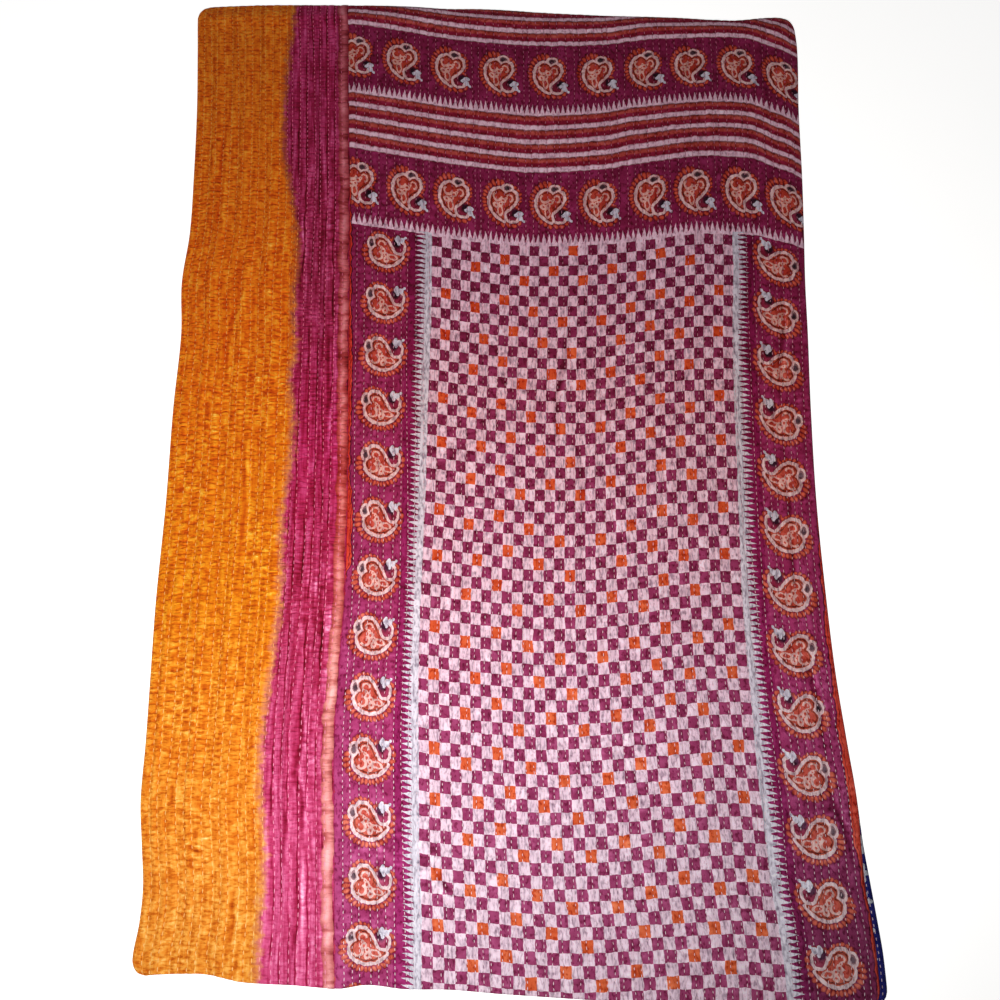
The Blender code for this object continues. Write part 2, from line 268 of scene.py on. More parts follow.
# How far the print sags below its straight place.
SAG_PLACES = (0.045, 0.227, 0.41, 0.60, 0.74, 0.955, 1.34, 1.675, 1.965, 2.245)
SAG = (
    # x, at each of the places from foot to head
    (-0.37, -0.060, -0.038, -0.029, -0.027, -0.025, -0.025, -0.030, -0.034, -0.041, -0.031),
    (-0.28, -0.060, -0.038, -0.029, -0.027, -0.025, -0.023, -0.022, -0.022, -0.025, -0.018),
    (-0.16, -0.032, -0.019, -0.008, -0.006, -0.003, -0.004, -0.006, -0.004, -0.002, 0.006),
    (-0.07, -0.026, -0.009, 0.000, 0.002, 0.007, 0.007, 0.006, 0.009, 0.012, 0.019),
    (0.05, -0.015, 0.000, 0.008, 0.011, 0.016, 0.017, 0.017, 0.020, 0.028, 0.031),
    (0.15, -0.011, 0.002, 0.008, 0.012, 0.017, 0.018, 0.020, 0.020, 0.026, 0.031),
    (0.26, -0.014, -0.002, 0.001, 0.004, 0.010, 0.010, 0.011, 0.015, 0.015, 0.027),
    (0.31, -0.016, -0.005, -0.003, 0.001, 0.006, 0.005, 0.004, 0.009, 0.003, 0.020),
    (0.37, -0.018, -0.008, -0.007, -0.005, 0.000, -0.001, -0.003, 0.002, -0.005, 0.012),
    (0.47, -0.021, -0.013, -0.011, -0.010, -0.006, -0.006, -0.009, -0.008, -0.019, 0.009),
    (0.55, -0.014, -0.009, -0.007, -0.007, -0.004, -0.004, -0.007, -0.007, -0.021, 0.007),
    (0.62, -0.013, -0.005, 0.001, 0.005, 0.007, 0.008, 0.005, -0.002, -0.011, 0.012),
    (0.68, -0.014, -0.005, 0.003, 0.008, 0.010, 0.012, 0.015, 0.018, 0.023, 0.036),
    (0.74, -0.014, -0.005, 0.003, 0.008, 0.010, 0.012, 0.026, 0.036, 0.056, 0.066),
)

# The first row's mark is on the left side only.
ORANGE_MARKS = (
    (0, (1,)),
    (1, (8,)),
    (2, (3, 11)),
    (3, (0, 6)),
    (5, (8, 14)),
    (6, (5, 11)),
    (7, (2,)),
    (8, (7,)),
    (9, (4, 10, 14)),
)
MARK_STEP = 16

# Where the paisleys stand in the design: rows across the head, and a column down each border.
UPPER_ROW = (0.090, (-0.377, -0.257, -0.135, -0.013, 0.110, 0.233, 0.352, 0.467, 0.585, 0.697))
LOWER_ROW = (0.447, (-0.357, -0.237, -0.123, -0.003, 0.111, 0.229, 0.353, 0.461, 0.577, 0.685))
BORDER_PLACES = (-0.287, 0.659)
BORDER_STARTS = (0.619, 0.622)
BORDER_PITCH = 0.130
BORDER_COUNT = 14
BORDER_LONG = 1.06  # how much longer down the cloth a border's paisley is than one in a row is wide
BORDER_CROSS = (0.87, 0.92)  # and its size across the cloth, on the left and on the right
# How much further than a quarter turn it is turned, at the head and at the foot of each border.
BORDER_TURNS = ((11.0, 11.0), (-6.0, 10.0))

# A paisley's outline and its petals, in centimetres about the middle of its body, with its lobes up and
# its tail to the lower right.
PAISLEY_REACH = 6.0
FAR_OFF = (24.0, 0.0)  # a place on no paisley
PAISLEY = (
    # turn_deg, distance
    (-180, 3.4),
    (-158, 3.5),
    (-132, 3.9),
    (-111, 4.4),
    (-94, 5.0),
    (-85, 5.3),
    (-79, 3.5),
    (-70, 2.75),
    (-50, 2.5),
    (-22, 2.7),
    (3, 3.3),
    (24, 3.9),
    (42, 4.15),
    (58, 3.9),
    (70, 3.1),
    (78, 2.85),
    (87, 3.4),
    (100, 3.85),
    (119, 3.9),
    (145, 3.65),
    (180, 3.4),
)
PETALS = 30
PETAL_GAP = 0.34
PETAL_LENGTHS = (
    # turn_deg, length
    (-180, 1.35),
    (-120, 1.4),
    (-75, 1.3),
    (-40, 1.0),
    (20, 0.9),
    (50, 1.2),
    (75, 2.15),
    (105, 2.2),
    (135, 1.8),
    (180, 1.35),
)
INNER_LINES = (
    # across, up, half_width, half_height, cut_toward_deg, thickness
    (-1.25, 1.45, 0.95, 1.1, 60.0, 0.26),
    (1.60, 1.10, 0.80, 0.90, -150.0, 0.26),
    (0.10, 0.35, 0.50, 0.50, None, 0.40),
    (-0.50, -0.65, 0.42, 0.42, None, 0.40),
    (0.75, 0.95, 0.30, 0.30, None, 0.45),
    (-0.65, -2.45, 0.55, 1.30, None, 0.30),
)
CROWN = (
    # across, up, half_width, half_height, turn_deg
    (4.1, -2.95, 0.85, 0.75, 20.0),
    (3.2, -3.3, 0.55, 0.5, 0.0),
    (4.2, -4.15, 0.72, 0.6, 0.0),
    (4.9, -4.8, 0.6, 0.3, -50.0),
)

# The selvedges' red-orange: the width that shows at the seam and at the right side.
SELVEDGE_REACH = 0.020
SEAM_SELVEDGE = (
    # share_of_length, width
    (0.00, 0.0),
    (0.36, 0.0),
    (0.385, 0.010),
    (0.41, 0.0135),
    (0.455, 0.012),
    (0.48, 0.004),
    (0.51, 0.006),
    (0.56, 0.0085),
    (0.65, 0.006),
    (0.75, 0.0045),
    (0.80, 0.0),
    (1.00, 0.0),
)
RIGHT_SELVEDGE = (
    # share_of_length, width
    (0.00, 0.006),
    (0.08, 0.007),
    (0.12, 0.010),
    (0.15, 0.017),
    (0.19, 0.017),
    (0.26, 0.013),
    (0.36, 0.007),
    (0.42, 0.004),
    (0.455, 0.0),
    (1.00, 0.0),
)

# How the dyes faded from head to foot: each dye's colour at some shares of the length.
MAGENTA_DYE = (
    # share_of_length, colour
    (0.09, "#DE4A80"),
    (0.21, "#CA3769"),
    (0.35, "#BA2652"),
    (0.50, "#B9194D"),
    (0.66, "#9E1A42"),
    (0.95, "#AC1C4E"),
)
ORANGE_DYE = (
    # share_of_length, colour
    (0.09, "#FF9B30"),
    (0.21, "#FC901F"),
    (0.35, "#F58408"),
    (0.50, "#FB7E08"),
    (0.66, "#FC7408"),
    (0.95, "#FB7810"),
)
CORAL_DYE = (
    # share_of_length, colour
    (0.10, "#F49092"),
    (0.26, "#F49892"),
    (0.36, "#DE6864"),
    (0.45, "#CE4843"),
    (0.68, "#C24C54"),
    (0.95, "#BD4D5B"),
)
PRINT_TINT = (
    # share_of_length, colour
    (0.12, "#FFFFFF"),
    (0.26, "#FFFBFA"),
    (0.40, "#FDF3EC"),
    (0.55, "#FDEEE2"),
    (0.71, "#F8F2EC"),
)
# The print grows deeper toward the head: partly a less washed-out dye, partly painted shade.
PRINT_DEEPENS = (0.30, 1.65, 1.0, 1.5)  # from and to these distances from the foot, by these powers

# The dyed strip's magenta border, from foot to head: its width from the seam.
DYE_LINE = (
    # from_foot, width
    (0.00, 0.155),
    (0.12, 0.152),
    (0.28, 0.141),
    (0.40, 0.149),
    (0.52, 0.151),
    (0.82, 0.138),
    (1.01, 0.142),
    (1.14, 0.126),
    (1.26, 0.124),
    (1.34, 0.132),
    (1.40, 0.120),
    (1.50, 0.128),
    (1.67, 0.120),
    (1.80, 0.138),
    (1.90, 0.157),
    (2.00, 0.158),
    (2.14, 0.150),
    (2.33, 0.129),
)

# The stitches: from one to the next, how much longer they are at the foot, and the thread against its width.
STITCHES = {
    # cloth: pitch, longer_at_foot, width, seed
    "side": (0.0144, 0.20, 1.25, 7),
    "print": (0.0126, -0.10, 1.0, 11),
}
SEWN_SHARE = 0.98  # the share of the length that a row's pitch is counted over
STITCH_LENGTHS = (0.82, 1.18)
STITCH_LEAN = 0.0004
STITCH_END = 0.4  # the width of a stitch's ends, against its middle
END_RISE = 0.3  # and their rise
END_DIVE = 0.0002
THREAD_LIFT = 0.0001
CREASE_SCALE = 0.0015  # the depth of a crease that holds full shade

# Cells of the sheets
SIDE_CELLS = 6  # from one row of stitches to the next
SIDE_SECTIONS = 735
PRINT_CELLS = 4
PRINT_SECTIONS = 388
LAP_CELLS = 3
BACKING_COLUMNS = 120
BACKING_SECTIONS = 180
STITCH_COLUMNS = 3  # two across a stitch and one for the gap to the next row
STITCH_SECTIONS = 4  # three along a stitch and one for the gap to the next

# The backing's print and the back of its stitches
FLOWER_PITCH = 0.055
FLOWER_LOBES = 5.0
DASH_PITCH = 0.0128
DASH_SHARE = 0.4

# The camera, the floor and the light
CAMERA_PLACE = (-0.0095, -0.4152, 1.6742)
CAMERA_TILT = 10.0
LENS = 27.04
SENSOR = 36.0
FLOOR_REACH = 12.0
FLOOR_CELLS = 8
FLOOR_GLOW = 0.68
KEY_PLACE = (-0.30, -1.04, 1.42)
KEY_AIM = (-0.80, 1.00, 0.0)
KEY_SIZE = 0.7
KEY_TINT = (1.0, 0.985, 0.97)
FILL_TINT = (1.0, 0.99, 0.98, 1.0)


def linear(code):
    """A colour from its sRGB hex code, turned linear."""
    values = [int(code[k : k + 2], 16) / 255 for k in (1, 3, 5)]
    return tuple(v / 12.92 if v <= 0.04045 else ((v + 0.055) / 1.055) ** 2.4 for v in values)


# ---------------------------------------------------------------------------------------------
# What a user would change
# ---------------------------------------------------------------------------------------------


def length_property(name, description, default):
    return bpy.props.FloatProperty(
        name=name, description=description, default=default, min=0.0, unit="LENGTH", precision=4
    )


def colour_property(name, description, code):
    return bpy.props.FloatVectorProperty(
        name=name, description=description, default=linear(code), min=0.0, max=1.0, subtype="COLOR"
    )


class QuiltSewing(bpy.types.PropertyGroup):
    """The running stitches and what they do to the cloth."""

    stitch_share: bpy.props.FloatProperty(
        name="Stitch share", description="Share of a row's length whose thread shows", default=0.64
    )
    thread_width: length_property("Thread width", "Width of the doubled thread", 0.0016)
    thread_rise: length_property("Thread rise", "How far a stitch stands up from the cloth", 0.0005)
    wander: length_property("Wander", "How far a row strays from its straight line", 0.0021)
    bulge: length_property("Bulge", "How uneven the cloth is between two rows", 0.0006)
    pucker: length_property("Pucker", "Rise of the dyed cloth's puckers", 0.0008)
    pucker_pitch: length_property("Pucker pitch", "From one pucker to the next", 0.0105)


class QuiltColours(bpy.types.PropertyGroup):
    """The dyes, the inks and the thread."""

    peach: colour_property("Peach", "Where orange and magenta ran together", "#F09A72")
    ground: colour_property("Ground", "The printed sari behind the paisleys", "#B03C74")
    strip: colour_property("Strip", "Beside the printed sari's teeth", "#9E2464")
    check: colour_property("Check", "The magenta checks", "#A03C6A")
    mark: colour_property("Mark", "The orange checks", "#E66238")
    white: colour_property("White", "The print's undyed white", "#FFDFF2")
    band: colour_property("Band", "The cooler white beside the checks", "#ECE5F4")
    stripe: colour_property("Stripe", "The stripes' brick red", "#D0645F")
    heart: colour_property("Heart", "Inside a paisley", "#D4584C")
    crimson: colour_property("Crimson", "The dark edge of each stripe", "#B2375C")
    dusk: colour_property("Dusk", "The thin line under each white stripe", "#A0686E")
    petal: colour_property("Petal", "The petals round a paisley", "#E46C56")
    selvedge: colour_property("Selvedge", "The printed sari's selvedges", "#E04A38")
    thread: colour_property("Thread", "The running stitches", "#F8DCE6")
    blue: colour_property("Blue", "The backing", "#2B2B84")
    floor: colour_property("Floor", "The pale floor", "#F2F1EF")


class QuiltLight(bpy.types.PropertyGroup):
    """The studio light."""

    key_power: bpy.props.FloatProperty(
        name="Key power", description="Power of the soft light near the foot", default=36.0, unit="POWER"
    )
    fill: bpy.props.FloatProperty(
        name="Fill", description="Strength of the light from all round", default=0.145, min=0.0
    )


# ---------------------------------------------------------------------------------------------
# How the cloth lies
# ---------------------------------------------------------------------------------------------


def along(table, column, place):
    """A smooth reading of one column of a table whose first column is the place."""
    rows = len(table)
    k = max(0, min(rows - 2, sum(1 for row in table if row[0] <= place) - 1))
    near = [table[max(0, min(rows - 1, k + step))] for step in (-1, 0, 1, 2)]
    span = near[2][0] - near[1][0]
    share = max(0.0, min(1.0, (place - near[1][0]) / span))

    def slope(a, b):
        return (b[column] - a[column]) / (b[0] - a[0]) * span

    leaving = slope(near[0], near[2])
    arriving = slope(near[1], near[3])
    rise = near[2][column] - near[1][column]
    bend = share * share * (3 - 2 * share)
    start = share * (1 - share) ** 2 * leaving
    end = share * share * (share - 1) * arriving
    return near[1][column] + rise * bend + start + end


def reading(table, column):
    """Reads a table's column at every millimetre, and gives the function that looks a place up."""
    start, end = table[0][0], table[-1][0]
    last = int((end - start) / MILLIMETRE)
    heights = [along(table, column, start + MILLIMETRE * k) for k in range(last + 2)]

    def height_at(place):
        spot = max(0.0, min(last, (place - start) / MILLIMETRE))
        k = int(spot)
        return heights[k] + (heights[k + 1] - heights[k]) * (spot - k)

    return height_at


def turned(table):
    """The rows of a table of waves or creases, each with its turn as a cosine and a sine."""
    rows = []
    for x, y, turn, half_length, half_width, height in table:
        angle = math.radians(turn)
        rows.append((x, y, math.cos(angle), math.sin(angle), half_length, half_width, height))
    return rows


LEFT_INSET, SEAM, RIGHT_INSET, BACKING_SHOWS = (reading(LONG_EDGES, column) for column in (1, 2, 3, 4))
FOOT_INSET, HEAD_INSET = (reading(HEMS, column) for column in (1, 2))
DYE_WIDTH = reading(DYE_LINE, 1)
BOW_SHIFTS = [reading(BOW, column + 1) for column in range(len(BOW_PLACES))]
SAGS = [reading(SAG, column + 1) for column in range(len(SAG_PLACES))]
TURNED_WAVES = turned(WAVES)
TURNED_CREASES = turned(CREASES)


def smooth(value, low, high):
    """0 below low, 1 above high and a soft step between."""
    share = max(0.0, min(1.0, (value - low) / (high - low)))
    return share * share * (3 - 2 * share)


def rounded(from_side, from_hem):
    """Distances from a side and a hem, moved in so that the corner between them is round."""
    across = 1 - from_side / CORNER_RADIUS
    up = 1 - from_hem / CORNER_RADIUS
    if across <= 0 or up <= 0:
        return from_side, from_hem
    new_across = across * math.sqrt(1 - up * up / 2)
    new_up = up * math.sqrt(1 - across * across / 2)
    return CORNER_RADIUS * (1 - new_across), CORNER_RADIUS * (1 - new_up)


def place(cloth, share, offset, up):
    """Where a column of a cloth lies, as x and y, at a share of the way up from foot to head."""
    guess = SEAM_SHARE * share if cloth == "side" else SEAM_SHARE + (1 - SEAM_SHARE) * share
    if cloth == "backing":
        guess = share
    across = min(WIDTH, max(0.0, WIDTH * guess + offset))
    foot = FOOT_INSET(across)
    head = LENGTH - HEAD_INSET(across)
    y = foot + (head - foot) * up
    left, seam, right = LEFT_INSET(y), SEAM(y), WIDTH - RIGHT_INSET(y)
    if cloth == "backing":
        right += max(0.0, BACKING_SHOWS(y) - HIDDEN_BACKING)
    start, end = {"side": (left, seam), "print": (seam, right), "backing": (left, right)}[cloth]
    x = start + (end - start) * share + offset
    from_side, from_hem = rounded(min(x - left, right - x), min(y - foot, head - y))
    x = left + from_side if x - left < right - x else right - from_side
    y = foot + from_hem if y - foot < head - y else head - from_hem
    return x - WIDTH / 2, y - LENGTH / 2


def from_edges(x, y):
    """Distances of a place from the left edge, the printed cloth's right edge, the foot and the head."""
    from_left = x + WIDTH / 2
    from_foot = y + LENGTH / 2
    return (
        from_left - LEFT_INSET(from_foot),
        WIDTH - RIGHT_INSET(from_foot) - from_left,
        from_foot - FOOT_INSET(from_left),
        LENGTH - HEAD_INSET(from_left) - from_foot,
    )


def roll(from_edge):
    """The shape of a soft rolled edge: nothing at the edge, 1 at its crest, nothing at ROLL_WIDTH."""
    share = min(1.0, max(0.0, from_edge / ROLL_WIDTH))
    return math.sin(math.pi * math.sqrt(share)) ** 2


def lie(x, y, edges):
    """How high the cloth's underside lies above the floor, with its distances from the edges."""
    height = 0.0
    for wave_x, wave_y, cosine, sine, half_length, half_width, wave_height in TURNED_WAVES:
        dx, dy = x - wave_x, y - wave_y
        if dx * dx + dy * dy > 9 * half_length * half_length:
            continue
        lengthways = (dx * cosine + dy * sine) / half_length
        sideways = (dy * cosine - dx * sine) / half_width
        height += wave_height * math.exp(-(lengthways**2) - sideways**2)
    left, right, foot, head = edges
    reach = (y - SIDE_ROLL_MIDDLE) / SIDE_ROLL_REACH
    height += HEAD_ROLL * roll(head)
    height += SIDE_ROLL * roll(right) * max(0.0, 1 - reach * reach)
    held_down = min(1.0, max(0.0, min(left, right, foot, head) / CORNER_RADIUS))
    return max(0.0, (height - WAVE_START) * held_down)


def puff(cloth, number, from_foot, edges):
    """How far the cloth rises between two rows of stitches."""
    uneven = math.sin(2.3 * number + 4.1 * from_foot) + math.sin(1.1 * number - 7.7 * from_foot)
    height = PUFF * (1 + UNEVENNESS * uneven)
    for fold_cloth, fold_puff, start, end, rise in FOLDS:
        if (fold_cloth, fold_puff) == (cloth, number) and start < from_foot < end:
            height += rise * math.sin(math.pi * (from_foot - start) / (end - start))
    from_hem = min(edges[2:])
    return height * min(1.0, FLAT_HEM + max(0.0, from_hem) / HEM_FADE)


def creases(x, y):
    """How far the listed creases move the face up or down."""
    height = 0.0
    for crease_x, crease_y, cosine, sine, half_length, half_width, depth in TURNED_CREASES:
        dx, dy = x - crease_x, y - crease_y
        if dx * dx + dy * dy > 4 * half_length * half_length:
            continue
        lengthways = (dx * cosine + dy * sine) / half_length
        sideways = (dy * cosine - dx * sine) / half_width
        sideways += SWING * math.sin(3 * lengthways + 40 * crease_x)
        fade = math.exp(-(lengthways**4))
        height -= depth * fade * math.exp(-(sideways**2))
        height += RIDGE * depth * fade * math.exp(-((sideways + RIDGE_PLACE) ** 2) / RIDGE_SPREAD)
    return height


def strays(sewing, cloth, row, up):
    """How far a row of stitches strays sideways from its straight line."""
    inner = min(1.0, min(row, ROWS[cloth] - row) / 1.5)
    slow = math.sin(6.1 * up + 1.7 * row) + 0.6 * math.sin(15.7 * up - 2.9 * row)
    return sewing.wander * inner * slow


def pucker(sewing, cloth, number, share, x, y):
    """The ladder of small puckers between two rows of stitches, from -1 to 1."""
    lean = 0.004 * noise.noise(Vector((3.7 * number, 6 * y, LEAN_LAYER)))
    step = (y + lean * (2 * share - 1)) / sewing.pucker_pitch
    ladder = noise.noise(Vector((5.13 * number, 2 * step, LADDER_LAYER[cloth])))
    patches = 0.55 + 1.1 * noise.noise(Vector((5 * x, 4 * y, PATCH_LAYER)))
    calm = 0.5 + 0.5 * smooth(y, 0.85, 0.25)
    return max(-1.0, min(1.0, 2.2 * ladder * max(0.15, patches) * calm))


def face_point(sewing, cloth, row, up, offset=0.0):
    """A point of a face cloth's top, with its pucker and its crease: row counts the stitch rows."""
    x, y = place(cloth, row / ROWS[cloth], offset + strays(sewing, cloth, row, up), up)
    edges = from_edges(x, y)
    from_foot = y + LENGTH / 2
    number = min(ROWS[cloth] - 1, int(row))
    share = row - number
    pillow = 1 - (2 * share - 1) ** 2
    floor_height = lie(x, y, edges)
    z = floor_height + BACKING_THICKNESS + GAP + CLOTH_THICKNESS
    rise = puff(cloth, number, from_foot, edges)
    rise += sewing.bulge * noise.noise(Vector((26 * x, 11 * y, BULGE_LAYER[cloth])))
    puckered = pucker(sewing, cloth, number, share, x, y)
    if cloth == "side":
        from_seam = (ROWS["side"] - row) * SIDE_ROW
        z += (CLOTH_THICKNESS + GAP) * (1 - smooth(from_seam, LAP, LAP_END))
        rise *= LAP_PUFF + (1 - LAP_PUFF) * smooth(from_seam, *LAP_PUFF_FADE)
        rise += sewing.pucker * puckered
        rise *= 1.15 + 0.8 * noise.noise(Vector((3.7 * number, 4.5 * y, RISE_LAYER)))
    else:
        rise += PRINT_PUCKER * sewing.pucker * puckered
    creased = creases(x, y)
    z += rise * pillow + creased
    z = max(z, floor_height + BACKING_THICKNESS + GAP)
    floor_side = min(edges[0] if cloth == "side" else edges[1], edges[2], edges[3])
    z -= TURNED_DOWN * (1 - smooth(floor_side, 0.0, TURNED_WIDTH))
    return Vector((x, y, z)), puckered * pillow, creased


# ---------------------------------------------------------------------------------------------
# Where the print lies on the cloth
# ---------------------------------------------------------------------------------------------


def bow(x, from_foot):
    """How far the print lies to the right of its straight place."""
    if x <= BOW_PLACES[0]:
        return BOW_SHIFTS[0](from_foot)
    for k in range(len(BOW_PLACES) - 1):
        low, high = BOW_PLACES[k], BOW_PLACES[k + 1]
        if x < high:
            here, there = BOW_SHIFTS[k](from_foot), BOW_SHIFTS[k + 1](from_foot)
            return here + (there - here) * (x - low) / (high - low)
    return BOW_SHIFTS[-1](from_foot)


def sag(x, from_foot):
    """How far the print lies below its straight place."""
    last = len(SAG_PLACES) - 1
    k = max(0, min(last - 1, sum(1 for stop in SAG_PLACES if stop <= from_foot) - 1))
    low, high = SAG_PLACES[k], SAG_PLACES[k + 1]
    share = max(0.0, min(1.0, (from_foot - low) / (high - low)))
    here, there = SAGS[k](x), SAGS[k + 1](x)
    return here + (there - here) * share


def in_design(x, y):
    """A place's coordinates in the print's flat design: across, and down from the design's start."""
    from_foot = y + LENGTH / 2
    return x - bow(x, from_foot), DESIGN_START - from_foot - sag(x, from_foot)


def paisley_spot(across, down):
    """Gives the function that turns across and down into centimetres on the nearest paisley."""
    if down < FIELD_LINE - TOOTH_HEIGHT:
        row_down, places = UPPER_ROW if down < BAND_TOP else LOWER_ROW
        middle = min(places, key=lambda spot: abs(across - spot))
        return lambda u, v: ((u - middle) / CENTIMETRE, (row_down - v) / CENTIMETRE)
    if FIELD_LEFT - LEFT_BAND < across < FIELD_RIGHT + RIGHT_BAND:
        return lambda u, v: FAR_OFF
    side = 0 if across < 0 else 1
    number = max(0, min(BORDER_COUNT - 1, round((down - BORDER_STARTS[side]) / BORDER_PITCH)))
    middle, start = BORDER_PLACES[side], BORDER_STARTS[side] + number * BORDER_PITCH
    cross = CENTIMETRE * BORDER_CROSS[side] * (1 if side else -1)
    at_head, at_foot = BORDER_TURNS[side]
    turn = math.radians(at_head + (at_foot - at_head) * number / (BORDER_COUNT - 1))
    cosine, sine = math.cos(turn), math.sin(turn)

    def spot(u, v):
        right, up = (start - v) / (CENTIMETRE * BORDER_LONG), (u - middle) / cross
        return right * cosine - up * sine, right * sine + up * cosine

    return spot


# ---------------------------------------------------------------------------------------------
# Meshes
# ---------------------------------------------------------------------------------------------


def grid(columns, rows):
    """A flat grid one unit to a cell, with a layer for each vertex's stitch row and share of the length."""
    bm = bmesh.new()
    bmesh.ops.create_grid(bm, x_segments=columns, y_segments=rows, size=0.5)
    bmesh.ops.translate(bm, verts=bm.verts, vec=(0.5, 0.5, 0))
    bmesh.ops.scale(bm, verts=bm.verts, vec=(columns, rows, 1))
    bm.verts.layers.float_vector.new("sewn")
    bm.verts.layers.float_vector.new("relief")
    return bm


def edge_down(bm, height):
    """Turns the sheet's open edge down to a height that is a function of the place."""
    border = [edge for edge in bm.edges if edge.is_boundary]
    made = bmesh.ops.extrude_edge_only(bm, edges=border)["geom"]
    for item in made:
        if isinstance(item, bmesh.types.BMVert):
            item.co.z = height(item.co)


def write_map(bm, name, values):
    """Writes a UV map from one pair of values for each vertex."""
    layer = bm.loops.layers.uv.new(name)
    for face in bm.faces:
        for loop in face.loops:
            loop[layer].uv = values[loop.vert.index]


def lay_vertex(bm, vertex, row, point):
    """Puts a vertex in its place and notes its row, its distance from the foot, its pucker and its crease."""
    co, puckered, creased = point
    vertex.co = co
    vertex[bm.verts.layers.float_vector["sewn"]] = (row, co.y + LENGTH / 2, 0.0)
    vertex[bm.verts.layers.float_vector["relief"]] = (puckered, creased / CREASE_SCALE, 0.0)


def write_sewn_maps(bm):
    """Writes the UV maps of where a vertex lies between the stitch rows and of its pucker and crease."""
    for name in ("sewn", "relief"):
        layer = bm.verts.layers.float_vector[name]
        write_map(bm, name, [vertex[layer].xy for vertex in bm.verts])


def write_dye_map(bm):
    """Writes a UV map of the distance from the seam and the distance past the line between the dyes."""
    dye = []
    for vertex in bm.verts:
        from_foot = vertex.co.y + LENGTH / 2
        from_seam = SEAM(from_foot) - WIDTH / 2 - vertex.co.x
        dye.append((from_seam, from_seam - DYE_WIDTH(from_foot)))
    write_map(bm, "dye", dye)


def write_paisley_map(bm, name, design):
    """Writes a UV map that has, on each face, the place on the nearest paisley."""
    layer = bm.loops.layers.uv.new(name)
    for face in bm.faces:
        corners = [design[vertex.index] for vertex in face.verts]
        across = sum(corner[0] for corner in corners) / len(corners)
        down = sum(corner[1] for corner in corners) / len(corners)
        spot = paisley_spot(across, down)
        for loop in face.loops:
            loop[layer].uv = spot(*design[loop.vert.index])


def finish_piece(bm, name, material):
    """Makes the mesh a piece of the scene that rides on the quilt's one body."""
    for face in bm.faces:
        face.smooth = True
    mesh = bpy.data.meshes.new(name)
    bm.to_mesh(mesh)
    bm.free()
    mesh.materials.append(material)
    piece = bpy.data.objects.new(name, mesh)
    bpy.context.scene.collection.objects.link(piece)
    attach(piece, "root")
    return piece


def on_backing(co):
    """The height of the backing's top under a place, less a little."""
    return lie(co.x, co.y, from_edges(co.x, co.y)) + TUCKED * BACKING_THICKNESS


def make_print(sewing):
    """The printed sari's face, from its edge under the dyed strip to the right side."""
    bm = grid(LAP_CELLS + ROWS["print"] * PRINT_CELLS, PRINT_SECTIONS)
    for vertex in bm.verts:
        column, up = vertex.co.x, vertex.co.y / PRINT_SECTIONS
        row = max(0.0, (column - LAP_CELLS) / PRINT_CELLS)
        under_strip = min(0.0, (column - LAP_CELLS) / LAP_CELLS) * LAP
        lay_vertex(bm, vertex, row, face_point(sewing, "print", row, up, under_strip))
    edge_down(bm, on_backing)
    bm.verts.index_update()
    design = [in_design(vertex.co.x, vertex.co.y) for vertex in bm.verts]
    write_map(bm, "design", design)
    write_sewn_maps(bm)
    write_paisley_map(bm, "paisley", design)
    return bm


def make_side(sewing):
    """The dyed strip's face, which laps over the printed sari."""
    bm = grid(ROWS["side"] * SIDE_CELLS, SIDE_SECTIONS)
    for vertex in bm.verts:
        row, up = vertex.co.x / SIDE_CELLS, vertex.co.y / SIDE_SECTIONS
        lay_vertex(bm, vertex, row, face_point(sewing, "side", row, up))

    def height(co):
        seam = SEAM(co.y + LENGTH / 2) - WIDTH / 2
        lapped = CLOTH_THICKNESS + GAP if seam - co.x < LAP / 2 else 0.0
        return on_backing(co) + lapped

    edge_down(bm, height)
    bm.verts.index_update()
    write_dye_map(bm)
    write_sewn_maps(bm)
    return bm


def make_backing():
    """The backing, one closed sheet under both saris."""
    bm = grid(BACKING_COLUMNS, BACKING_SECTIONS)
    made = bmesh.ops.extrude_face_region(bm, geom=bm.faces[:])["geom"]
    raised = [item for item in made if isinstance(item, bmesh.types.BMVert)]
    bmesh.ops.translate(bm, verts=raised, vec=(0, 0, 1))
    bmesh.ops.recalc_face_normals(bm, faces=bm.faces)
    flat = []
    for vertex in bm.verts:
        share, up = vertex.co.x / BACKING_COLUMNS, vertex.co.y / BACKING_SECTIONS
        x, y = place("backing", share, 0.0, up)
        z = lie(x, y, from_edges(x, y)) + BACKING_THICKNESS * vertex.co.z
        vertex.co = (x, y, z)
        flat.append((share * sum(ROWS.values()), y + LENGTH / 2))
    write_map(bm, "sewn", flat)
    return bm


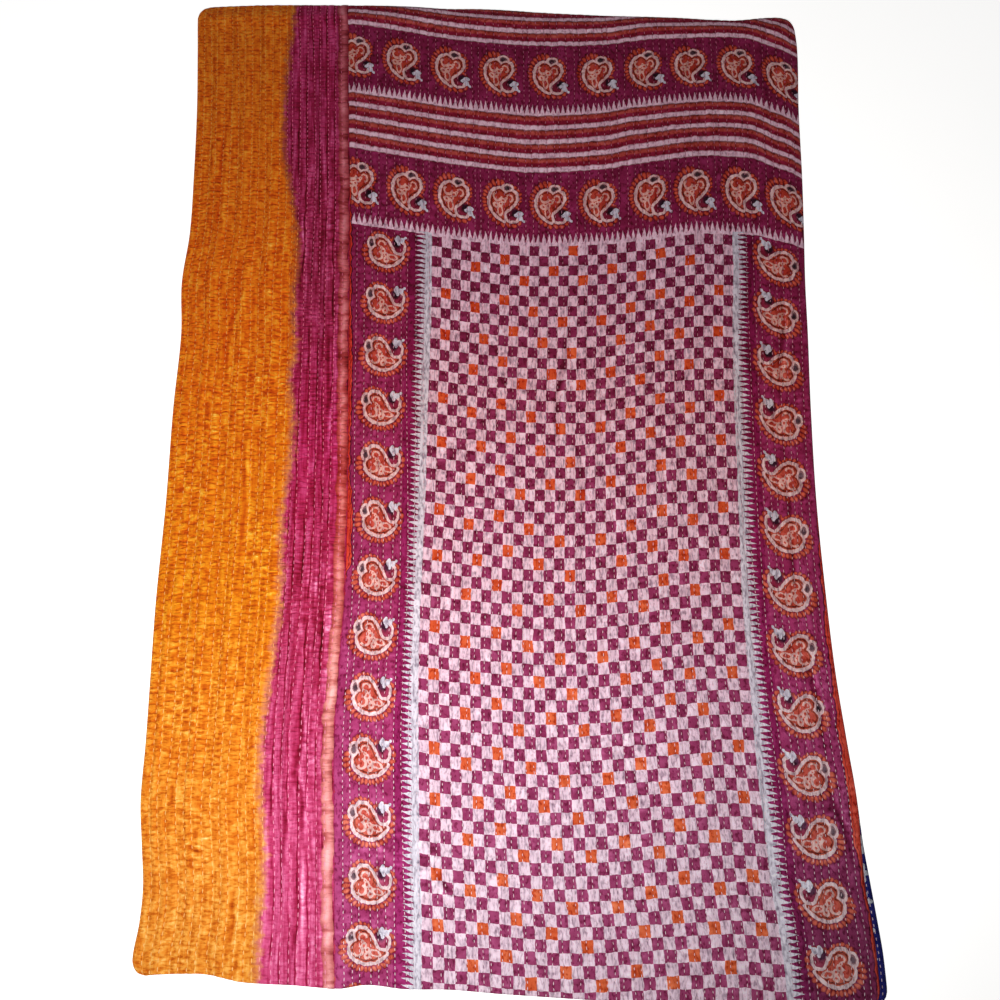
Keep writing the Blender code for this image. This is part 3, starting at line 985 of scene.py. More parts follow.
def make_stitches(sewing, cloth):
    """A cloth's running stitches: each is a short arched strip that dives into the cloth at its ends."""
    pitch, longer_at_foot, width, seed = STITCHES[cloth]
    rows = range(1, ROWS[cloth])
    count = int(SEWN_SHARE * LENGTH / pitch)
    bm = grid(STITCH_COLUMNS * len(rows), STITCH_SECTIONS * count)
    gaps = []
    for face in bm.faces:
        middle = face.calc_center_median()
        beside = int(middle.x) % STITCH_COLUMNS == STITCH_COLUMNS - 1
        behind = int(middle.y) % STITCH_SECTIONS == STITCH_SECTIONS - 1
        if beside or behind:
            gaps.append(face)
    bmesh.ops.delete(bm, geom=gaps, context="FACES")
    chance = random.Random(seed)
    late = [chance.random() for _ in rows]
    lengths = [[chance.uniform(*STITCH_LENGTHS) for _ in range(count)] for _ in rows]
    leans = [[chance.uniform(-STITCH_LEAN, STITCH_LEAN) for _ in range(count)] for _ in rows]
    for vertex in bm.verts:
        column, step = round(vertex.co.x), round(vertex.co.y)
        line, side = min(column // STITCH_COLUMNS, len(rows) - 1), column % STITCH_COLUMNS - 1
        number, part = min(step // STITCH_SECTIONS, count - 1), step % STITCH_SECTIONS - 1.5
        end = abs(part) > 1
        share = (number + 0.25 + 0.5 * late[line]) / count
        up = share + longer_at_foot * share * (1 - share)
        size = sewing.stitch_share * lengths[line][number] * (1 + longer_at_foot * (1 - 2 * share)) / count
        half = width * sewing.thread_width / 2 * (STITCH_END if end else 1.0)
        offset = side * half + leans[line][number] * part
        co, puckered, creased = face_point(sewing, cloth, rows[line], up + part / 3 * size, offset)
        co.z += sewing.thread_rise * (END_RISE if end else 1.0) if side == 0 else 0.0
        co.z += -END_DIVE if end else THREAD_LIFT
        lay_vertex(bm, vertex, rows[line], (co, puckered, creased))
    bm.verts.index_update()
    write_sewn_maps(bm)
    if cloth == "side":
        write_dye_map(bm)
    return bm


# ---------------------------------------------------------------------------------------------
# Materials
# ---------------------------------------------------------------------------------------------


def add(tree, kind, *values, stops=(), **settings):
    """Adds a shader node with its settings and stops, feeds its inputs in order, gives its first output.

    A Mix is of colours unless its settings say otherwise.
    """
    node = tree.nodes.new("ShaderNode" + kind)
    if kind == "Mix":
        settings.setdefault("data_type", "RGBA")
    for name, value in settings.items():
        setattr(node, name, value)
    sockets = [socket for socket in node.inputs if socket.enabled]
    for socket, value in zip(sockets, values):
        if isinstance(value, bpy.types.NodeSocket):
            tree.links.new(value, socket)
        elif value is not None:
            socket.default_value = value
    if stops and kind == "ValToRGB":
        for _ in stops[2:]:
            node.color_ramp.elements.new(0.5)
        for element, (stop, shown) in zip(node.color_ramp.elements, stops):
            element.position = stop
            element.color = shown
    elif stops:
        points = node.mapping.curves[0].points
        for _ in stops[2:]:
            points.new(0.5, 0.5)
        for point, stop in zip(points, stops):
            point.location = stop
        node.mapping.update()
    return next(socket for socket in node.outputs if socket.enabled)


def new_material(name, roughness):
    """A matt material, its tree and its shader."""
    material = bpy.data.materials.new(name)
    material.use_nodes = True
    shader = material.node_tree.nodes["Principled BSDF"]
    shader.inputs["Roughness"].default_value = roughness
    shader.inputs["IOR"].default_value = 1.45
    shader.inputs["Specular IOR Level"].default_value = 0.2
    shader.inputs["Metallic"].default_value = 0.0
    return material, material.node_tree, shader


def colour(value):
    """A colour as a socket takes it, from its hex code or a colour property."""
    return (*(linear(value) if isinstance(value, str) else value), 1.0)


def dyes(table):
    """A table of shares and hex codes, as the stops of a ramp."""
    return [(stop, colour(code)) for stop, code in table]


def blotch(tree, where, across, down, detail, low, high, start=0.0, end=1.0):
    """Noise with so many blots to a unit across and down, spread out between start and end."""
    scaled = add(tree, "Mapping", where, (0, 0, 0), (0, 0, 0), (across, down, 1.0))
    value = add(tree, "TexNoise", scaled, 1.0, detail, 0.6, noise_dimensions="2D")
    return add(tree, "MapRange", value, low, high, start, end)


def share_up(tree, from_foot):
    """The share of the quilt's length, from its foot."""
    return add(tree, "Math", from_foot, 1 / LENGTH, operation="MULTIPLY")


def weighed(tree, shade, weights, lift):
    """A shade with more values added to it, each by its weight, and the whole of it lifted."""
    for value, weight in weights:
        shade = add(tree, "Math", value, weight, shade, operation="MULTIPLY_ADD")
    return add(tree, "Math", shade, lift, operation="ADD")


def oval(tree, spot, across, up, wide, high, turn=0.0):
    """Distance from the middle of an oval on the paisley: 1 is its rim."""
    moved = add(tree, "Mapping", spot, (across, up, 0), (0, 0, math.radians(turn)), (wide, high, 1),
                vector_type="TEXTURE")
    return add(tree, "VectorMath", moved, operation="LENGTH")


def beyond(tree, spot, turn, distance):
    """A mask of what lies further than a distance in a direction."""
    direction = (math.cos(math.radians(turn)), math.sin(math.radians(turn)), 0)
    reached = add(tree, "VectorMath", spot, direction, operation="DOT_PRODUCT")
    return add(tree, "Math", reached, distance, operation="GREATER_THAN")


def around(tree, turn, table, reach):
    """A distance that depends on the direction, read from a table of turn and distance."""
    share = add(tree, "Math", turn, 1 / math.tau, 0.5, operation="MULTIPLY_ADD")
    stops = [((degrees + 180) / 360, distance / reach) for degrees, distance in table]
    height = add(tree, "FloatCurve", 1.0, share, stops=stops)
    return add(tree, "Math", height, reach, operation="MULTIPLY")


def shaded(tree, base, shade, deepening, darkening):
    """A dyed colour with painted light and shade: at -1 the dye is deeper and darker, at 1 it is paler and
    lighter.
    """
    power = add(tree, "MapRange", shade, -1.0, 1.0, 1 + deepening, 1 - deepening, clamp=False)
    light = add(tree, "MapRange", shade, -1.0, 1.0, 1 - darkening, 1 + darkening, clamp=False)
    result = add(tree, "Gamma", base, power)
    return add(tree, "Mix", 1.0, result, light, blend_type="MULTIPLY")


def petals_round(tree, base, rim, turn, colours):
    """Petals round a paisley, from the distance outside its rim: each has a dark outline."""
    length = around(tree, turn, PETAL_LENGTHS, PAISLEY_REACH)
    height = add(tree, "Math", rim, PETAL_GAP, operation="SUBTRACT")
    height = add(tree, "Math", height, length, operation="DIVIDE")
    height = add(tree, "Math", height, 2.0, -1.0, operation="MULTIPLY_ADD")
    high = add(tree, "Math", height, height, operation="MULTIPLY")
    side = add(tree, "Math", turn, PETALS / math.tau, 7.0, operation="MULTIPLY_ADD")
    side = add(tree, "Math", side, operation="FRACT")
    side = add(tree, "Math", side, 2.0, -1.0, operation="MULTIPLY_ADD")
    side = add(tree, "Math", side, side, operation="MULTIPLY")
    bead = add(tree, "Math", side, 0.95, high, operation="MULTIPLY_ADD")
    shadow = add(tree, "MapRange", bead, 0.95, 1.45, 0.75, 0.0)
    petal = add(tree, "MapRange", bead, 0.72, 1.0, 1.0, 0.0)
    result = add(tree, "Mix", shadow, base, colour("#6E1E34"))
    tone = add(tree, "MapRange", bead, 0.1, 0.8, 1.0, 0.0)
    ink = add(tree, "Mix", tone, colour("#A83A3E"), colour(colours.petal))
    return add(tree, "Mix", petal, result, ink)


def paisleys(tree, base, colours):
    """Paisleys over a base colour: a white outline with a loop and a tail, red inside, petals round it."""
    spot = add(tree, "UVMap", uv_map="paisley")
    uneven = add(tree, "TexNoise", spot, 0.9, 2.0, 0.6, noise_dimensions="2D").node.outputs["Color"]
    uneven = add(tree, "VectorMath", uneven, (0.5, 0.5, 0.5), operation="SUBTRACT")
    spot = add(tree, "VectorMath", uneven, (0.55, 0.55, 0.0), spot, operation="MULTIPLY_ADD")
    flat = add(tree, "SeparateXYZ", spot)
    turn = add(tree, "Math", flat.node.outputs["Y"], flat, operation="ARCTAN2")
    out = add(tree, "VectorMath", spot, operation="LENGTH")
    edge = add(tree, "Math", out, around(tree, turn, PAISLEY, PAISLEY_REACH), operation="SUBTRACT")
    outer = add(tree, "Math", edge, 0.0, operation="GREATER_THAN")
    bay = oval(tree, spot, 2.2, -3.6, 1.65, 1.75)
    tail_edge = add(tree, "Math", bay, 1.7, -1.7, operation="MULTIPLY_ADD")
    rim = add(tree, "Math", edge, tail_edge, operation="MINIMUM")
    result = petals_round(tree, base, rim, turn, colours)

    in_bay = add(tree, "Math", bay, 1.0, operation="LESS_THAN")
    in_bay = add(tree, "Math", in_bay, outer, operation="MULTIPLY")
    in_bay = add(tree, "Math", in_bay, 0.6, operation="MULTIPLY")
    result = add(tree, "Mix", in_bay, result, colour("#A23A4A"))
    gloom = add(tree, "MapRange", oval(tree, spot, 3.35, -2.9, 1.75, 1.35), 0.6, 1.0, 0.9, 0.0)
    gloom = add(tree, "Math", gloom, outer, operation="MULTIPLY")
    result = add(tree, "Mix", gloom, result, colour("#3A2038"))

    inside = add(tree, "Math", edge, 0.0, operation="LESS_THAN")
    depth = add(tree, "MapRange", edge, -1.7, -0.7, 0.0, 1.0)
    fill = add(tree, "Mix", depth, colour(colours.heart), colour("#CC5844"))
    result = add(tree, "Mix", inside, result, fill)
    contour = add(tree, "Math", edge, -0.72, 0.12, operation="COMPARE")
    result = add(tree, "Mix", contour, result, colour("#7C3430"))

    lines = add(tree, "Math", oval(tree, spot, -1.6, -0.9, 0.55, 0.55), 1.0, 0.5, operation="COMPARE")
    for across, up, wide, high, lean, thick in INNER_LINES:
        ring = oval(tree, spot, across, up, wide, high, 4.0)
        line = add(tree, "Math", ring, 1.0, thick, operation="COMPARE")
        if lean is not None:
            reach = across * math.cos(math.radians(lean)) + up * math.sin(math.radians(lean)) + 0.5 * wide
            opened = beyond(tree, spot, lean, reach)
            line = add(tree, "Math", line, opened, operation="SUBTRACT")
        lines = add(tree, "Math", lines, line, operation="MAXIMUM")
    result = add(tree, "Mix", lines, result, colour("#F6C2BC"))

    loop = oval(tree, spot, 1.15, 3.75, 1.3, 1.05)
    in_loop = add(tree, "Math", loop, 1.0, operation="LESS_THAN")
    in_loop = add(tree, "Math", in_loop, outer, operation="MULTIPLY")
    result = add(tree, "Mix", in_loop, result, colour("#9A7078"))
    eye = add(tree, "Math", oval(tree, spot, 1.0, 3.8, 0.6, 0.42), 1.0, operation="LESS_THAN")
    eye = add(tree, "Math", eye, outer, operation="MULTIPLY")
    result = add(tree, "Mix", eye, result, colour("#6A505C"))
    stroke = add(tree, "Math", edge, 0.0, 0.38, operation="COMPARE")
    loop_line = add(tree, "Math", loop, 1.0, 0.25, operation="COMPARE")
    loop_line = add(tree, "Math", loop_line, outer, operation="MULTIPLY")
    tail = add(tree, "Math", bay, 1.0, 0.2, operation="COMPARE")
    tail = add(tree, "Math", tail, beyond(tree, spot, 57, -1.5), operation="SUBTRACT")
    stroke = add(tree, "Math", stroke, loop_line, operation="MAXIMUM")
    stroke = add(tree, "Math", stroke, tail, operation="MAXIMUM")
    result = add(tree, "Mix", stroke, result, colour("#F9D8DC"))

    for leaf in CROWN:
        part = add(tree, "Math", oval(tree, spot, *leaf), 1.0, operation="LESS_THAN")
        crown = part if leaf is CROWN[0] else add(tree, "Math", crown, part, operation="MAXIMUM")
    return add(tree, "Mix", crown, result, colour("#ECE6F6"))


def teeth(tree, along_row, height, reach):
    """A mask of slender triangles that stand on a line, from the place along it and the height on it."""
    step = add(tree, "Math", along_row, 1 / TOOTH_PITCH, operation="MULTIPLY")
    step = add(tree, "Math", step, operation="FRACT")
    step = add(tree, "Math", step, 2.0, -1.0, operation="MULTIPLY_ADD")
    step = add(tree, "Math", step, operation="ABSOLUTE")
    room = add(tree, "Math", height, -TOOTH_FILL / TOOTH_HEIGHT, TOOTH_FILL, operation="MULTIPLY_ADD")
    inside = add(tree, "Math", room, step, operation="GREATER_THAN")
    within = add(tree, "Math", height, reach / 2, reach / 2 + TOOTH_ROOT, operation="COMPARE")
    return add(tree, "Math", inside, within, operation="MULTIPLY")


def stripes(tree, base, down, colours):
    """The white, brick and crimson stripes of the sari's head over a base colour."""
    in_band = add(tree, "Math", down, BAND_TOP / 2, operation="GREATER_THAN")
    pitch = add(tree, "MapRange", in_band, 0.0, 1.0, NARROW_STRIPE, STRIPE)
    start = add(tree, "Math", in_band, BAND_TOP, operation="MULTIPLY")
    step = add(tree, "Math", down, start, operation="SUBTRACT")
    step = add(tree, "Math", step, pitch, operation="DIVIDE")
    step = add(tree, "Math", step, 1.0, 0.0, operation="WRAP")
    white, stripe = colour(colours.white), colour(colours.stripe)
    stops = (
        (0.0, white),
        (0.10, white),
        (0.17, colour(colours.dusk)),
        (0.24, colour("#B4584E")),
        (0.32, stripe),
        (0.44, stripe),
        (0.54, colour(colours.crimson)),
        (0.77, colour("#A82C54")),
        (0.87, white),
        (1.0, white),
    )
    band = add(tree, "ValToRGB", step, stops=stops)
    narrow = add(tree, "Math", down, NARROW_END, operation="LESS_THAN")
    middle, half = (BAND_TOP + BAND_END) / 2, (BAND_END - BAND_TOP) / 2 + 0.001
    broad = add(tree, "Math", down, middle, half, operation="COMPARE")
    striped = add(tree, "Math", narrow, broad, operation="MAXIMUM")
    return add(tree, "Mix", striped, base, band)


def checks(tree, across, down, colours):
    """White, magenta and orange checks."""
    pitch = (FIELD_RIGHT - FIELD_LEFT) / CHECK_COLUMNS
    column = add(tree, "Math", across, 1 / pitch, -FIELD_LEFT / pitch, operation="MULTIPLY_ADD")
    column = add(tree, "Math", column, operation="FLOOR")
    row = add(tree, "Math", down, 1 / CHECK_LENGTH, -FIELD_TOP / CHECK_LENGTH, operation="MULTIPLY_ADD")
    row = add(tree, "Math", row, operation="FLOOR")
    odd = add(tree, "Math", column, row, operation="ADD")
    odd = add(tree, "Math", odd, 2.0, operation="FLOORED_MODULO")
    in_repeat = add(tree, "Math", row, CHECK_REPEAT, operation="FLOORED_MODULO")
    from_middle = add(tree, "Math", column, CHECK_COLUMNS // 2, operation="SUBTRACT")
    beside = add(tree, "Math", from_middle, operation="ABSOLUTE")
    first = add(tree, "Math", in_repeat, 0.5, operation="LESS_THAN")
    right = add(tree, "Math", from_middle, 0.5, operation="GREATER_THAN")
    skipped = add(tree, "Math", first, right, operation="MULTIPLY")
    beside = add(tree, "Math", skipped, MARK_STEP / 2, beside, operation="MULTIPLY_ADD")
    code = add(tree, "Math", in_repeat, MARK_STEP, beside, operation="MULTIPLY_ADD")
    codes = MARK_STEP * CHECK_REPEAT
    share = add(tree, "Math", code, 1 / codes, 0.5 / codes, operation="MULTIPLY_ADD")
    magenta, orange = colour(colours.check), colour(colours.mark)
    stops = [(0.0, magenta)]
    for mark_row, mark_columns in ORANGE_MARKS:
        for mark_column in mark_columns:
            mark = mark_row * MARK_STEP + mark_column
            stops += [(mark / codes, orange), ((mark + 1) / codes, magenta)]
    marks = add(tree, "ValToRGB", share, stops=stops)
    marks.node.color_ramp.interpolation = "CONSTANT"
    return add(tree, "Mix", odd, marks, colour(colours.white))


def near_row(tree, sewn):
    """The share of the way from one row of stitches to the next, and a mask that is 1 on the rows."""
    rows = add(tree, "SeparateXYZ", sewn)
    share = add(tree, "Math", rows, operation="FRACT")
    beside = add(tree, "Math", share, 0.5, operation="SUBTRACT")
    beside = add(tree, "Math", beside, operation="ABSOLUTE")
    valley = add(tree, "MapRange", beside, 0.34, 0.5, 0.0, 1.0, interpolation_type="SMOOTHSTEP")
    return share, valley


def folded_over(tree, sewn, share, low, high):
    """A mask of painted shade: dark lines along the rows, where one puff lies against the next."""
    wander = blotch(tree, sewn, 0.7, 16.0, 1.0, 0.3, 0.7, -0.10, 0.10)
    line = add(tree, "Math", share, wander, operation="ADD")
    line = add(tree, "Math", line, 0.87, operation="SUBTRACT")
    line = add(tree, "Math", line, operation="ABSOLUTE")
    line = add(tree, "MapRange", line, 0.03, 0.11, 1.0, 0.0)
    strength = blotch(tree, sewn, 0.8, 7.0, 2.0, low, high)
    return add(tree, "Math", line, strength, operation="MULTIPLY")


def printed_cotton(colours):
    """Block-printed cotton, thin and soft from washing: matt, with slubs and puckers between the rows."""
    material, tree, shader = new_material("printed_cotton", 0.88)
    design = add(tree, "UVMap", uv_map="design")
    ragged = add(tree, "TexNoise", design, INK_GRAIN, 1.0, 0.5, noise_dimensions="2D")
    ragged = add(tree, "VectorMath", ragged.node.outputs["Color"], (0.5, 0.5, 0.5), operation="SUBTRACT")
    ragged = add(tree, "VectorMath", ragged, (INK_SPREAD, INK_SPREAD, 0.0), design, operation="MULTIPLY_ADD")
    flat = add(tree, "SeparateXYZ", ragged)
    across, down = flat, flat.node.outputs["Y"]
    sewn = add(tree, "UVMap", uv_map="sewn")
    rows = add(tree, "SeparateXYZ", sewn)
    from_foot = rows.node.outputs["Y"]

    # The ground behind the paisleys: deeper beside the teeth, with painted shade that darkens it toward the
    # head and painted shadow in the lower right corner.
    low = FIELD_LEFT - LEFT_BAND - SIDE_TOOTH - STRIP
    high = FIELD_RIGHT + RIGHT_BAND + SIDE_TOOTH + STRIP
    below = add(tree, "Math", down, FIELD_LINE, operation="GREATER_THAN")
    strip = add(tree, "Math", across, (low + high) / 2, (high - low) / 2, operation="COMPARE")
    strip = add(tree, "Math", strip, below, operation="MULTIPLY")
    result = add(tree, "Mix", strip, colour(colours.ground), colour(colours.strip))
    # Painted shade, darker toward the head.
    painted_head_shade = add(tree, "MapRange", from_foot, 1.3, 1.85, 1.0, 0.88)
    # Painted shadow in the lower right corner, darkest at the foot.
    corner = add(tree, "MapRange", from_foot, 0.1, 0.6, 0.5, 1.0)
    painted_corner_shadow = add(tree, "MapRange", across, 0.53, 0.60, 1.0, corner)
    painted_corner_shadow = add(tree, "Mix", below, 1.0, painted_corner_shadow, data_type="FLOAT")
    # Both painted shades together, multiplied into the ground's colour.
    dye = add(tree, "Math", painted_head_shade, painted_corner_shadow, operation="MULTIPLY")
    result = add(tree, "Mix", 1.0, result, dye, blend_type="MULTIPLY")
    result = paisleys(tree, result, colours)
    result = stripes(tree, result, down, colours)

    # The rows of teeth across the head, and the white line under the lower one.
    white = colour(colours.white)
    for line in (BAND_TOP - 0.001, FIELD_LINE):
        height = add(tree, "Math", line, down, operation="SUBTRACT")
        row = teeth(tree, across, height, TOOTH_HEIGHT)
        result = add(tree, "Mix", row, result, white)
    line = add(tree, "Math", down, FIELD_LINE + LINE_WIDTH / 2, LINE_WIDTH / 2, operation="COMPARE")
    result = add(tree, "Mix", line, result, white)

    # The white bands with their teeth down both sides, and the checks between them.
    left_height = add(tree, "Math", FIELD_LEFT - LEFT_BAND, across, operation="SUBTRACT")
    right_height = add(tree, "Math", across, FIELD_RIGHT + RIGHT_BAND, operation="SUBTRACT")
    beside = add(tree, "Math", left_height, right_height, operation="MAXIMUM")
    bands = add(tree, "Math", beside, 0.0, operation="LESS_THAN")
    side = teeth(tree, down, beside, SIDE_TOOTH)
    side = add(tree, "Math", side, bands, operation="MAXIMUM")
    side = add(tree, "Math", side, below, operation="MULTIPLY")
    result = add(tree, "Mix", side, result, colour(colours.band))
    field = add(tree, "Math", across, (FIELD_LEFT + FIELD_RIGHT) / 2, (FIELD_RIGHT - FIELD_LEFT) / 2,
                operation="COMPARE")
    field = add(tree, "Math", field, below, operation="MULTIPLY")
    in_checks = add(tree, "Math", down, FIELD_TOP, operation="GREATER_THAN")
    pattern = checks(tree, across, down, colours)
    pattern = add(tree, "Mix", in_checks, white, pattern)
    result = add(tree, "Mix", field, result, pattern)

    # The selvedges, each with painted shadow in two dark folds along it.
    share = share_up(tree, from_foot)
    frayed = blotch(tree, sewn, 0.4, 32.0, 2.0, 0.25, 0.75, -FRAY, FRAY)
    from_seam = add(tree, "Math", rows, PRINT_ROW, frayed, operation="MULTIPLY_ADD")
    from_side = add(tree, "Math", rows, -PRINT_ROW, ROWS["print"] * PRINT_ROW, operation="MULTIPLY_ADD")
    from_side = add(tree, "Math", from_side, frayed, operation="ADD")
    for distance, table in ((from_seam, SEAM_SELVEDGE), (from_side, RIGHT_SELVEDGE)):
        stops = [(stop, value / SELVEDGE_REACH) for stop, value in table]
        width = add(tree, "FloatCurve", 1.0, share, stops=stops)
        width = add(tree, "Math", width, SELVEDGE_REACH, operation="MULTIPLY")
        spare = add(tree, "Math", width, distance, operation="SUBTRACT")
        shown = add(tree, "Math", spare, 0.0005, operation="GREATER_THAN")
        result = add(tree, "Mix", shown, result, colour(colours.selvedge))
        # Painted shadow: dark wine lines in the folds along each selvedge.
        for middle, half, strength in ((-0.0010, 0.0014, 0.8), (0.0050, 0.0009, 0.55)):
            fold_shadow = add(tree, "Math", spare, middle, half, operation="COMPARE")
            wide = add(tree, "Math", width, 0.002, operation="GREATER_THAN")
            fold_shadow = add(tree, "Math", fold_shadow, wide, operation="MULTIPLY")
            fold_shadow = add(tree, "Math", fold_shadow, strength, operation="MULTIPLY")
            result = add(tree, "Mix", fold_shadow, result, colour("#5A1630"))

    # Painted light and shade on the puckers, in the creases and along the rows.
    relief = add(tree, "SeparateXYZ", add(tree, "UVMap", uv_map="relief"))
    between, valley = near_row(tree, sewn)
    nicks = blotch(tree, sewn, 2.6, 95.0, 1.0, 0.56, 0.72, 0.0, 1.0)
    soft = blotch(tree, sewn, 0.7, 24.0, 2.0, 0.3, 0.7, 0.4, -0.4)
    patchy = blotch(tree, sewn, 0.6, 30.0, 1.0, 0.35, 0.7, 0.1, 0.9)
    dark_rows = add(tree, "Math", valley, patchy, operation="MULTIPLY")
    folds = folded_over(tree, sewn, between, 0.58, 0.75)
    crease = relief.node.outputs["Y"]
    weights = ((relief, 0.75), (crease, 1.25), (nicks, -1.1), (dark_rows, -1.2), (folds, -1.0))
    shade = weighed(tree, soft, weights, 0.35)
    result = crinkled(tree, sewn, result, from_foot)
    result = deepened(tree, result, from_foot)
    result = shaded(tree, result, shade, 0.24, 0.24)
    bump = yarn_bump(tree, sewn, nicks, 0.0008)
    tree.links.new(result, shader.inputs["Base Color"])
    tree.links.new(bump, shader.inputs["Normal"])
    return material


def yarn_bump(tree, sewn, nicks, depth):
    """Bump from the slubby yarn, drawn coarse enough to show, and from the nicks of the small puckers."""
    yarn = blotch(tree, sewn, 14.0, 700.0, 0.0, 0.3, 0.7)
    height = add(tree, "Math", nicks, -1.4, yarn, operation="MULTIPLY_ADD")
    return add(tree, "Bump", 1.0, depth, None, height)


def crinkled(tree, sewn, base, from_foot):
    """Painted grey shade in the print's small crinkles, which run along the rows and show most on its white.
    """
    whiteness = add(tree, "SeparateColor", base).node.outputs["Green"]
    plain = add(tree, "MapRange", from_foot, 1.3, 1.9, 1.0, 0.35)
    whiteness = add(tree, "Math", whiteness, plain, operation="MULTIPLY")
    crinkles = blotch(tree, sewn, 3.2, 52.0, 1.0, 0.47, 0.72)
    crinkles = add(tree, "Math", crinkles, whiteness, operation="MULTIPLY")
    return add(tree, "Mix", crinkles, base, colour("#ACA0AC"), blend_type="MULTIPLY")


def deepened(tree, base, from_foot):
    """The print's colours at a distance from the foot: deeper and darker toward the head, partly a less
    washed-out dye and partly painted shade.
    """
    start, end, low, high = PRINT_DEEPENS
    parts = add(tree, "SeparateColor", base).node.outputs
    warmth = add(tree, "Math", parts["Green"], parts["Blue"], operation="SUBTRACT")
    spared = add(tree, "MapRange", warmth, -0.03, 0.03, 1.0, 0.7)
    power = add(tree, "MapRange", from_foot, start, end, low - 1, high - 1)
    power = add(tree, "Math", power, spared, 1.0, operation="MULTIPLY_ADD")
    result = add(tree, "Gamma", base, power)
    share = share_up(tree, from_foot)
    tint = add(tree, "ValToRGB", share, stops=dyes(PRINT_TINT))
    return add(tree, "Mix", 1.0, result, tint, blend_type="MULTIPLY")


def dyed_cotton(colours):
    """Cotton dyed orange and magenta by hand: the two dyes ran together, and the orange is blotchy."""
    material, tree, shader = new_material("dyed_cotton", 0.86)
    dye = add(tree, "UVMap", uv_map="dye")
    sewn = add(tree, "UVMap", uv_map="sewn")
    relief = add(tree, "SeparateXYZ", add(tree, "UVMap", uv_map="relief"))
    crease = relief.node.outputs["Y"]
    flat = add(tree, "SeparateXYZ", dye)
    from_seam, past_line = flat, flat.node.outputs["Y"]
    from_foot = add(tree, "SeparateXYZ", sewn).node.outputs["Y"]
    share = share_up(tree, from_foot)

    # Painted light and shade between two rows.
    between, valley = near_row(tree, sewn)
    nicks = blotch(tree, sewn, 1.3, 170.0, 1.0, 0.48, 0.68, 0.0, 1.0)
    # A painted highlight: a pale line beside each row of stitches.
    ridge = add(tree, "Math", between, 0.09, 0.06, operation="COMPARE")
    streaks = blotch(tree, sewn, 2.2, 11.0, 2.0, 0.28, 0.72, -1.0, 1.0)
    mottle = blotch(tree, sewn, 1.1, 38.0, 2.0, 0.3, 0.7, -1.0, 1.0)
    patchy = blotch(tree, sewn, 0.9, 9.0, 2.0, 0.35, 0.68, 0.2, 1.0)
    dark_rows = add(tree, "Math", valley, patchy, operation="MULTIPLY")

    # The two dyes with their painted light and shade, and the ragged line where they ran together.
    ragged = blotch(tree, sewn, 0.9, 60.0, 3.0, 0.2, 0.8, -0.010, 0.010)
    edge = add(tree, "Math", past_line, ragged, operation="ADD")
    is_orange = add(tree, "MapRange", edge, -0.007, 0.007, 0.0, 1.0)
    weights = ((relief, 1.2), (streaks, 0.4), (mottle, 0.5), (dark_rows, -0.8), (nicks, -0.9), (ridge, 0.5))
    orange_shade = weighed(tree, crease, weights, 0.25)
    folds = folded_over(tree, sewn, between, 0.38, 0.56)
    weights = (
        (relief, 0.8), (streaks, 0.6), (mottle, 0.25), (dark_rows, -0.5), (nicks, -0.4), (folds, -1.75)
    )
    magenta_shade = weighed(tree, crease, weights, 0.4)
    orange = add(tree, "ValToRGB", share, stops=dyes(ORANGE_DYE))
    orange = shaded(tree, orange, orange_shade, 0.32, 0.22)
    magenta = add(tree, "ValToRGB", share, stops=dyes(MAGENTA_DYE))
    magenta = shaded(tree, magenta, magenta_shade, 0.38, 0.28)
    running = add(tree, "MapRange", edge, 0.002, 0.018, 0.75, 0.0)
    # The run's colour darkens toward the head.
    toward_head = add(tree, "MapRange", share, 0.35, 0.75, 0.0, 1.0)
    run = add(tree, "Mix", toward_head, colour(colours.peach), colour("#B85A34"))
    result = add(tree, "Mix", running, orange, run)
    result = add(tree, "Mix", is_orange, magenta, result)

    # The coral selvedge beside the seam, rounded and wrinkled crosswise: a painted highlight along its
    # middle, painted shade at its sides and in its wrinkles.
    wavy = blotch(tree, sewn, 0.2, 20.0, 2.0, 0.25, 0.75, -0.004, 0.004)
    from_seam = add(tree, "Math", from_seam, wavy, operation="ADD")
    hem = add(tree, "MapRange", from_seam, 0.024, 0.027, 1.0, 0.0)
    on_hem = add(tree, "Math", from_seam, 0.002, operation="GREATER_THAN")
    hem = add(tree, "Math", hem, on_hem, operation="MULTIPLY")
    # Painted highlight along the selvedge's middle, painted shade toward its sides.
    bulge = add(tree, "Math", from_seam, 0.0135, operation="SUBTRACT")
    bulge = add(tree, "Math", bulge, operation="ABSOLUTE")
    bulge = add(tree, "MapRange", bulge, 0.002, 0.012, 0.7, -0.7)
    # Painted shade in the crosswise wrinkles.
    wrinkle = blotch(tree, sewn, 0.3, 64.0, 2.0, 0.52, 0.7, 0.0, 1.0)
    glow = blotch(tree, sewn, 0.3, 24.0, 2.0, 0.35, 0.65, -0.4, 0.5)
    coral_shade = add(tree, "Math", bulge, glow, operation="ADD")
    coral_shade = add(tree, "Math", wrinkle, -1.0, coral_shade, operation="MULTIPLY_ADD")
    coral = add(tree, "ValToRGB", share, stops=dyes(CORAL_DYE))
    coral = shaded(tree, coral, coral_shade, 0.32, 0.30)
    result = add(tree, "Mix", hem, result, coral)

    bump = yarn_bump(tree, sewn, nicks, 0.0010)
    tree.links.new(result, shader.inputs["Base Color"])
    tree.links.new(bump, shader.inputs["Normal"])
    return material


